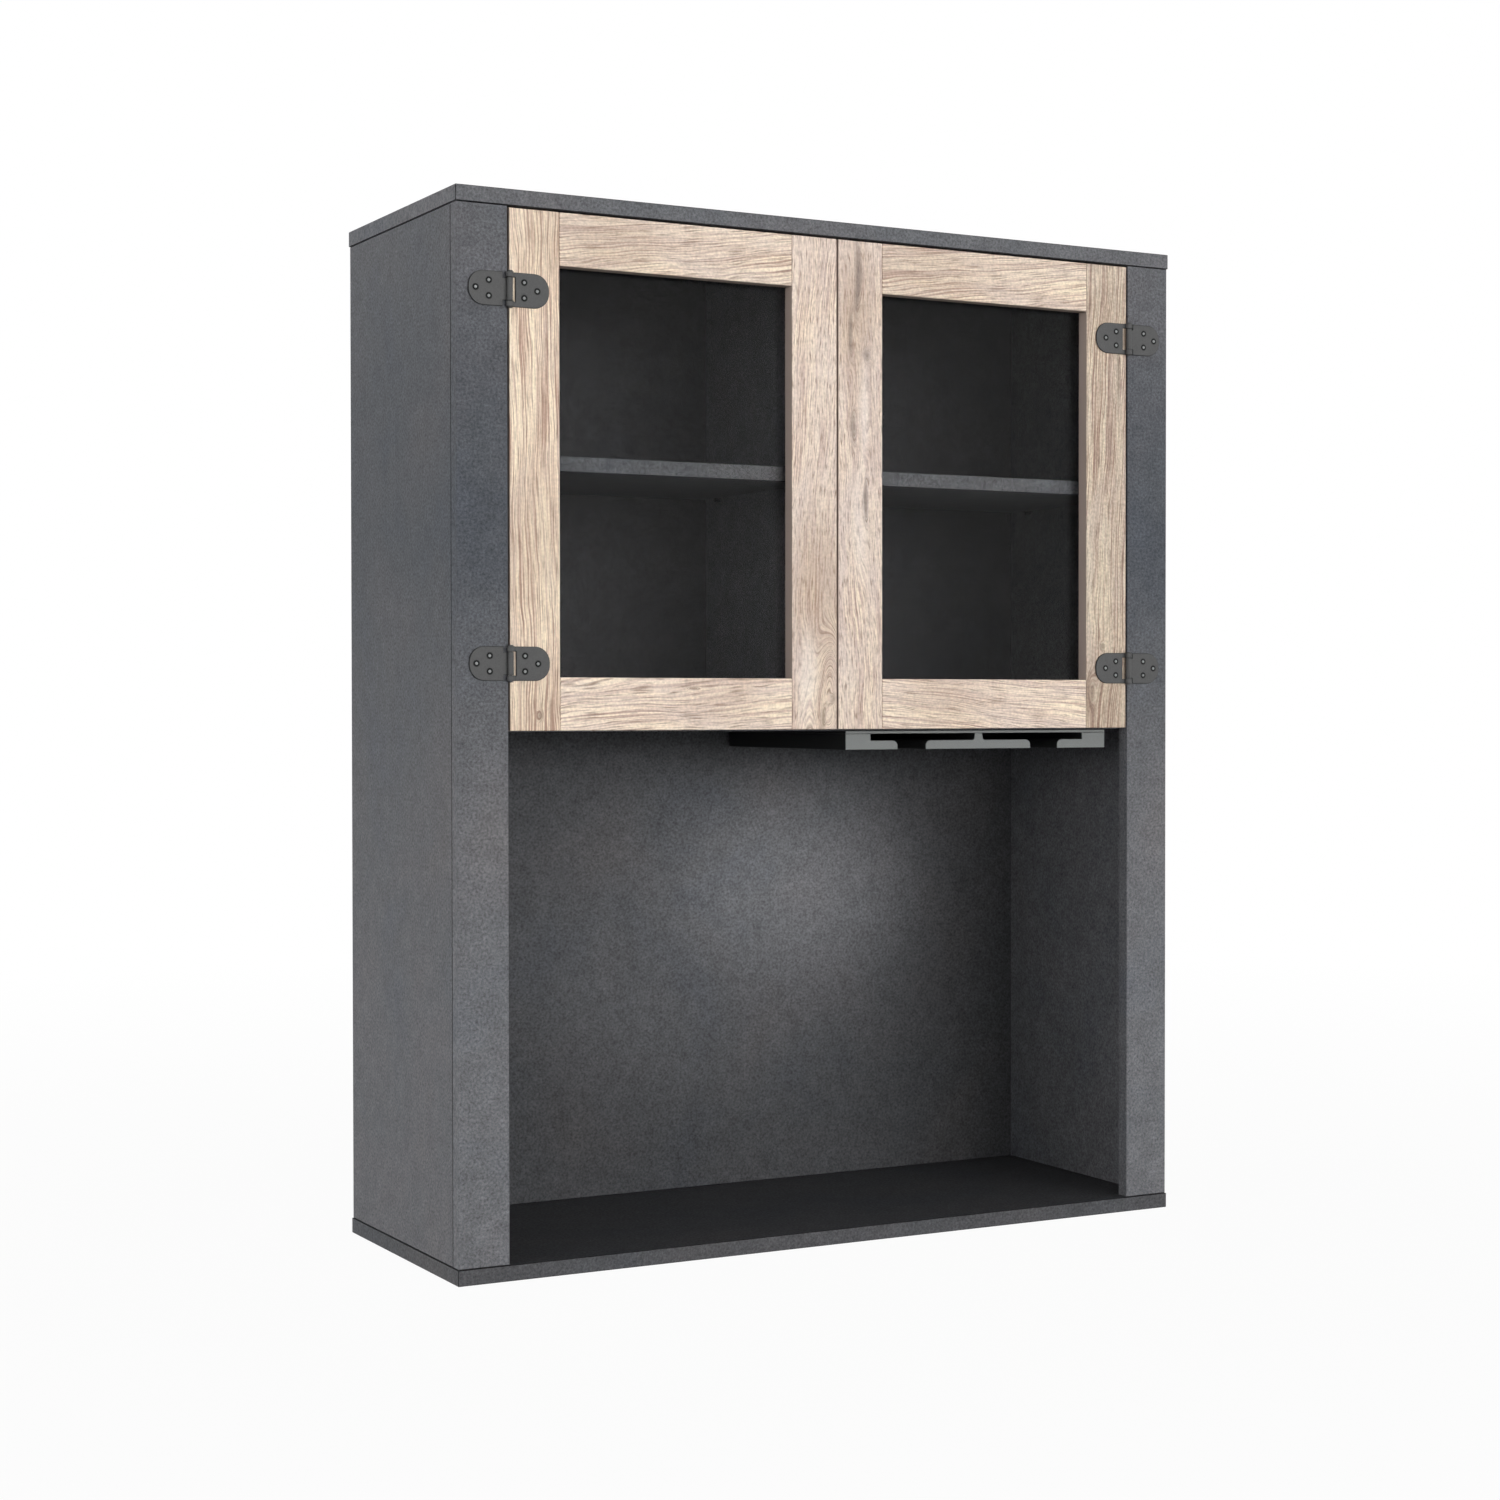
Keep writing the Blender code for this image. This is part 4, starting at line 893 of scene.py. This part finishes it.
# %% [markdown]
# ## The rack
#
# Two L-shaped rails run at the sides and a T-shaped one between them, under a thin sheet.  The upper
# corners of the flanges are rounded.  The sections could be taken from the solids, but their rounds have
# few facets.  So the sections are drawn again, and their places come from the solids' boxes.

# %% Rack rails and sheet
BLOCK = 28.7  # mm, thick outer part of a side rail
SIDE_REACH = 60.0
CENTRE_HALF = 63.25
FLANGE = 9.0
FLANGE_ROUND = 5.4
STEM_TOP = 4.4  # half widths of the centre rail's stem
STEM_FOOT = 5.2
STEM_FILLET = 2.6

for side, sign in SIDES.items():
    node = f"rack_{side}_rail"
    low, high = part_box(node)
    top = (high.z - low.z) / MM
    outer = Vector((high.x if sign > 0 else low.x, 0, low.z))
    outline = ((0, 0), (SIDE_REACH, 0), (SIDE_REACH, FLANGE), (BLOCK, FLANGE), (BLOCK, top), (0, top))
    corners = [(-sign * x, z) for x, z in outline]
    rail = moulding(corners, (((2,), FLANGE_ROUND),), (low.y, high.y), outer)
    finished_piece(f"rack_{side}_moulding", rail, [lacquer, sawn], "rack_rail", node)

low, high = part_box("rack_centre_rail")
top = (high.z - low.z) / MM
foot = Vector(((low.x + high.x) / 2, 0, low.z))
half = ((CENTRE_HALF, 0), (CENTRE_HALF, FLANGE), (STEM_FOOT, FLANGE), (STEM_TOP, top))
corners = list(half) + [(-x, z) for x, z in reversed(half)]
rail = moulding(corners, (((1, 6), FLANGE_ROUND), ((2, 5), STEM_FILLET)), (low.y, high.y), foot)
finished_piece("rack_centre_moulding", rail, [lacquer, sawn], "rack_rail", "rack_centre_rail")

low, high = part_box("rack_plate")
width = (high.x - low.x) / MM
thick = (high.z - low.z) / MM
corners = ((0, 0), (width, 0), (width, thick), (0, thick))
plate = moulding(corners, (), (low.y, high.y), Vector((low.x, 0, low.z)))
finished_piece("rack_top_sheet", plate, [lacquer, sawn], "rack_rail", "rack_plate")
print("rack: 3 mouldings and a sheet")

# %% [markdown]
# ## Shelf pins and rack screws
#
# A shelf lies on four blackened steel pins, and each rack rail hangs on two zinc-plated countersunk screws
# from above.  A cylinder with a bevel would do for a pin, but both are lathe work, and the tool is at hand:
# a profile line spun round an axis, with its rims rounded afterwards.

# %% Pins and screws
# Blackened steel: dark grey and dull, so that a pin doesn't glint behind the pane.
pin_steel = fine_finish(
    "blackened_pin_steel", "#3a3b3d", "#48494b", grain=0.9, roughness=(0.4, 0.55), relief=0.02, shine=0.3)
PIN_NAMES = [name for name in nodes if "_shelf_" in name and name.endswith("_pin")]
for name in PIN_NAMES:
    low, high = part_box(name)
    radius = (high.z - low.z) / 2 / MM
    length = (high.x - low.x) / MM
    start = middle_of(name)
    start.x = low.x
    pin = turned([(0, 0), (radius, 0), (radius, length), (0, length)], start, (1, 0, 0), rounding=0.5)
    finished_piece(name + "_turned", pin, [pin_steel], "zinc_steel", name)

SCREW_NAMES = [name for name in nodes if name.startswith("rack_") and name.endswith("_screw")]
SCREW_HEAD = 3.15  # mm, radius
SCREW_SHANK = 1.65
SOCKET = 1.1
SOCKET_DEPTH = 1.2
for name in SCREW_NAMES:
    low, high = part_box(name)
    length = (high.z - low.z) / MM
    start = middle_of(name)
    start.z = high.z
    line = [
        (0, SOCKET_DEPTH), (SOCKET, SOCKET_DEPTH), (SOCKET, 0), (SCREW_HEAD, 0),
        (SCREW_SHANK, SCREW_HEAD - SCREW_SHANK), (SCREW_SHANK, length - SCREW_SHANK), (0, length)]
    screw = turned(line, start, (0, 0, -1), rounding=0.1)
    finished_piece(name + "_turned", screw, [zinc], "zinc_steel", name)
print(len(PIN_NAMES), "shelf pins and", len(SCREW_NAMES), "rack screws")

# %% [markdown]
# ## Floor
#
# The cabinet stands on a white studio floor.  Strong lamps could make it white, but they would bleach the
# cabinet too.  Instead, Light Path tells the rays of the camera, of mirrors and of glass from the rays that
# carry light, and only the first kind meets a white glow.  Near the cabinet the floor keeps a share of real
# white paint, so it still takes a shadow.

# %% Floor
NEAR_GLOW = 0.96  # share of the glow near the cabinet
NEAR = 0.7  # metres from the cabinet's middle
FAR = 3.0
FLOOR_HALF = 30.0  # metres
FLOOR_GAP = 0.5  # mm under the cabinet


def seen_rays(material):
    """One for what the camera sees, straight or by mirror or glass, and zero for rays that carry light."""
    path = add_node(material, "LightPath")
    mirror = add_node(material, "Math", {
        0: path.outputs["Is Camera Ray"], 1: path.outputs["Is Glossy Ray"]}, operation="MAXIMUM")
    clear = add_node(material, "Math", {
        0: mirror, 1: path.outputs["Is Transmission Ray"]}, operation="MAXIMUM")
    unspread = add_node(material, "Math", {0: path.outputs["Diffuse Depth"], 1: 0.5}, operation="LESS_THAN")
    return add_node(material, "Math", {0: clear, 1: unspread}, operation="MULTIPLY")


# White floor paint: a plain ground with only a breath of shadow.
floor_paint = bpy.data.materials.new("white_studio_floor")
floor_paint.use_nodes = True
floor_paint.node_tree.nodes.clear()
white = add_node(floor_paint, "BsdfDiffuse", {"Color": linear("#f4f4f4")})
glow = add_node(floor_paint, "Emission", {"Color": linear("#ffffff"), "Strength": 1.0})
place = add_node(floor_paint, "TexCoord").outputs["Object"]
away = add_node(floor_paint, "VectorMath", {0: place}, operation="LENGTH").outputs["Value"]
bright = add_node(floor_paint, "MapRange", {
    "Value": away, "From Min": NEAR, "From Max": FAR, "To Min": NEAR_GLOW, "To Max": 1.0})
share = add_node(floor_paint, "Math", {0: seen_rays(floor_paint), 1: bright}, operation="MULTIPLY")
surface = add_node(floor_paint, "MixShader", {0: share, 1: white, 2: glow})
add_node(floor_paint, "OutputMaterial", {"Surface": surface})

shape = bmesh.new()
bmesh.ops.create_grid(shape, x_segments=1, y_segments=1, size=FLOOR_HALF)
bmesh.ops.translate(shape, vec=(0, 0, -FLOOR_GAP * MM), verts=shape.verts)
floor_mesh = bpy.data.meshes.new("studio_floor")
shape.to_mesh(floor_mesh)
shape.free()
floor_mesh.materials.append(floor_paint)
studio_floor = bpy.data.objects.new("studio_floor", floor_mesh)
bpy.context.scene.collection.objects.link(studio_floor)
print("white floor", 2 * FLOOR_HALF, "metres wide")

# %% [markdown]
# ## Room
#
# In a studio, large soft screens light an object from the front and the side.  Area lamps could stand for
# them, but screens drawn in the world have soft edges, show nowhere and stay far away, so their light falls
# evenly over the height.  The rays that carry light meet bright low walls, a dark ceiling and three
# screens: a strong one in front, one at the left, and a weak one between.  The camera sees plain white.

# %% Room
WALL_LIGHT = 1.0
CEILING_LIGHT = 0.1
CEILING_RISE = 0.5  # upward part of a ray's direction where the walls have faded into the ceiling
SQUAT = (1, 1, 2.4)  # makes the screens wider than they are tall
SCREEN_EDGE = 0.82  # how nearly a ray points at a screen where it starts to glow
SCREEN_HEART = 0.97
SCREENS = (  # direction and strength
    ((0.28, -0.96, 0.0), 12.3),
    ((-1.0, 0.15, 0.06), 8.5),
    ((-0.75, -0.66, 0.0), 1.6))

room = bpy.data.worlds.new("white_room")
room.use_nodes = True
room.node_tree.nodes.clear()
towards = add_node(room, "TexCoord").outputs["Object"]
rise = add_node(room, "SeparateXYZ", {"Vector": towards}).outputs["Z"]
light = add_node(room, "MapRange", {
    "Value": rise, "From Max": CEILING_RISE, "To Min": WALL_LIGHT, "To Max": CEILING_LIGHT})
tall = add_node(room, "VectorMath", {0: towards, 1: SQUAT}, operation="MULTIPLY")
squat = add_node(room, "VectorMath", {0: tall}, operation="NORMALIZE")
for direction, strength in SCREENS:
    nearness = add_node(room, "VectorMath", {
        0: squat, 1: Vector(direction).normalized()}, operation="DOT_PRODUCT").outputs["Value"]
    screen = add_node(room, "MapRange", {
        "Value": nearness, "From Min": SCREEN_EDGE, "From Max": SCREEN_HEART, "To Min": 0.0,
        "To Max": strength}, interpolation_type="SMOOTHSTEP")
    light = add_node(room, "Math", {0: light, 1: screen}, operation="ADD")
level = add_node(room, "MapRange", {"Value": seen_rays(room), "To Min": light, "To Max": 1.0})
sky = add_node(room, "Background", {"Color": linear("#ffffff"), "Strength": level})
add_node(room, "OutputWorld", {"Surface": sky})
bpy.context.scene.world = room
print("white room with", len(SCREENS), "soft screens")

# %% [markdown]
# ## Spots for the niche
#
# The back of the niche has a pale glow that fades to all sides.  A broad lamp would light the doors and the
# stiles as well, so two narrow spots are aimed through the opening: one fills the back, and the other makes
# the bright place in it.  Stretching a spot's object makes its cone oval.

# %% Spots for the niche
SPOTS = {  # place and aim in metres, cone in degrees, its stretch sideways and upwards, watts
    "niche_fill": ((0.0, -2.2, 0.3), (0.0, 0.14, 0.28), 13, (1.15, 0.82, 1.0), 92),
    "niche_glint": ((0.1, -2.2, 0.34), (0.1, 0.14, 0.34), 6.5, (1.4, 0.9, 1.0), 190),
}
for name, (place, aim, cone, stretch, watts) in SPOTS.items():
    lamp = bpy.data.lights.new(name, "SPOT")
    lamp.spot_size = math.radians(cone)
    lamp.spot_blend = 1.0
    lamp.shadow_soft_size = 0.06  # metres
    lamp.energy = watts
    holder = bpy.data.objects.new(name, lamp)
    holder.location = place
    holder.scale = stretch
    holder.rotation_euler = (Vector(aim) - Vector(place)).to_track_quat("-Z", "Y").to_euler()
    bpy.context.scene.collection.objects.link(holder)
print(len(SPOTS), "spots for the niche")

# %% [markdown]
# ## Camera
#
# The picture is taken from the left, a little above the cabinet's middle, with a long lens and almost no
# tilt, so upright edges stay upright.  A camera can be placed by eye, but this one was fitted to edges of
# the photographed cabinet, so render and photograph can be laid over each other.  The picture's centre lies
# to the left of the lens axis, which is a small sideways shift.

# %% Camera and view
IMAGE = 1500  # pixels, both ways
FOCAL = 2714.6  # pixels
LENS_AXIS_X = 892.4  # pixels from the left edge
SENSOR = 36.0  # mm
CAMERA_PLACE = (-1.2987, -2.50875, 0.5395)
YAW = 29.947  # degrees
PITCH = -1.004

camera = bpy.data.cameras.new("camera")
camera.sensor_width = SENSOR
camera.lens = SENSOR * FOCAL / IMAGE
camera.shift_x = (IMAGE / 2 - LENS_AXIS_X) / IMAGE
camera.clip_end = 100.0
camera_holder = bpy.data.objects.new("camera", camera)
camera_holder.location = CAMERA_PLACE
camera_holder.rotation_euler = (math.radians(90 + PITCH), 0, math.radians(-YAW))
bpy.context.scene.collection.objects.link(camera_holder)
bpy.context.scene.camera = camera_holder
bpy.context.scene.view_settings.view_transform = "Standard"
print("lens", round(camera.lens, 2), "mm, shift", round(camera.shift_x, 4))
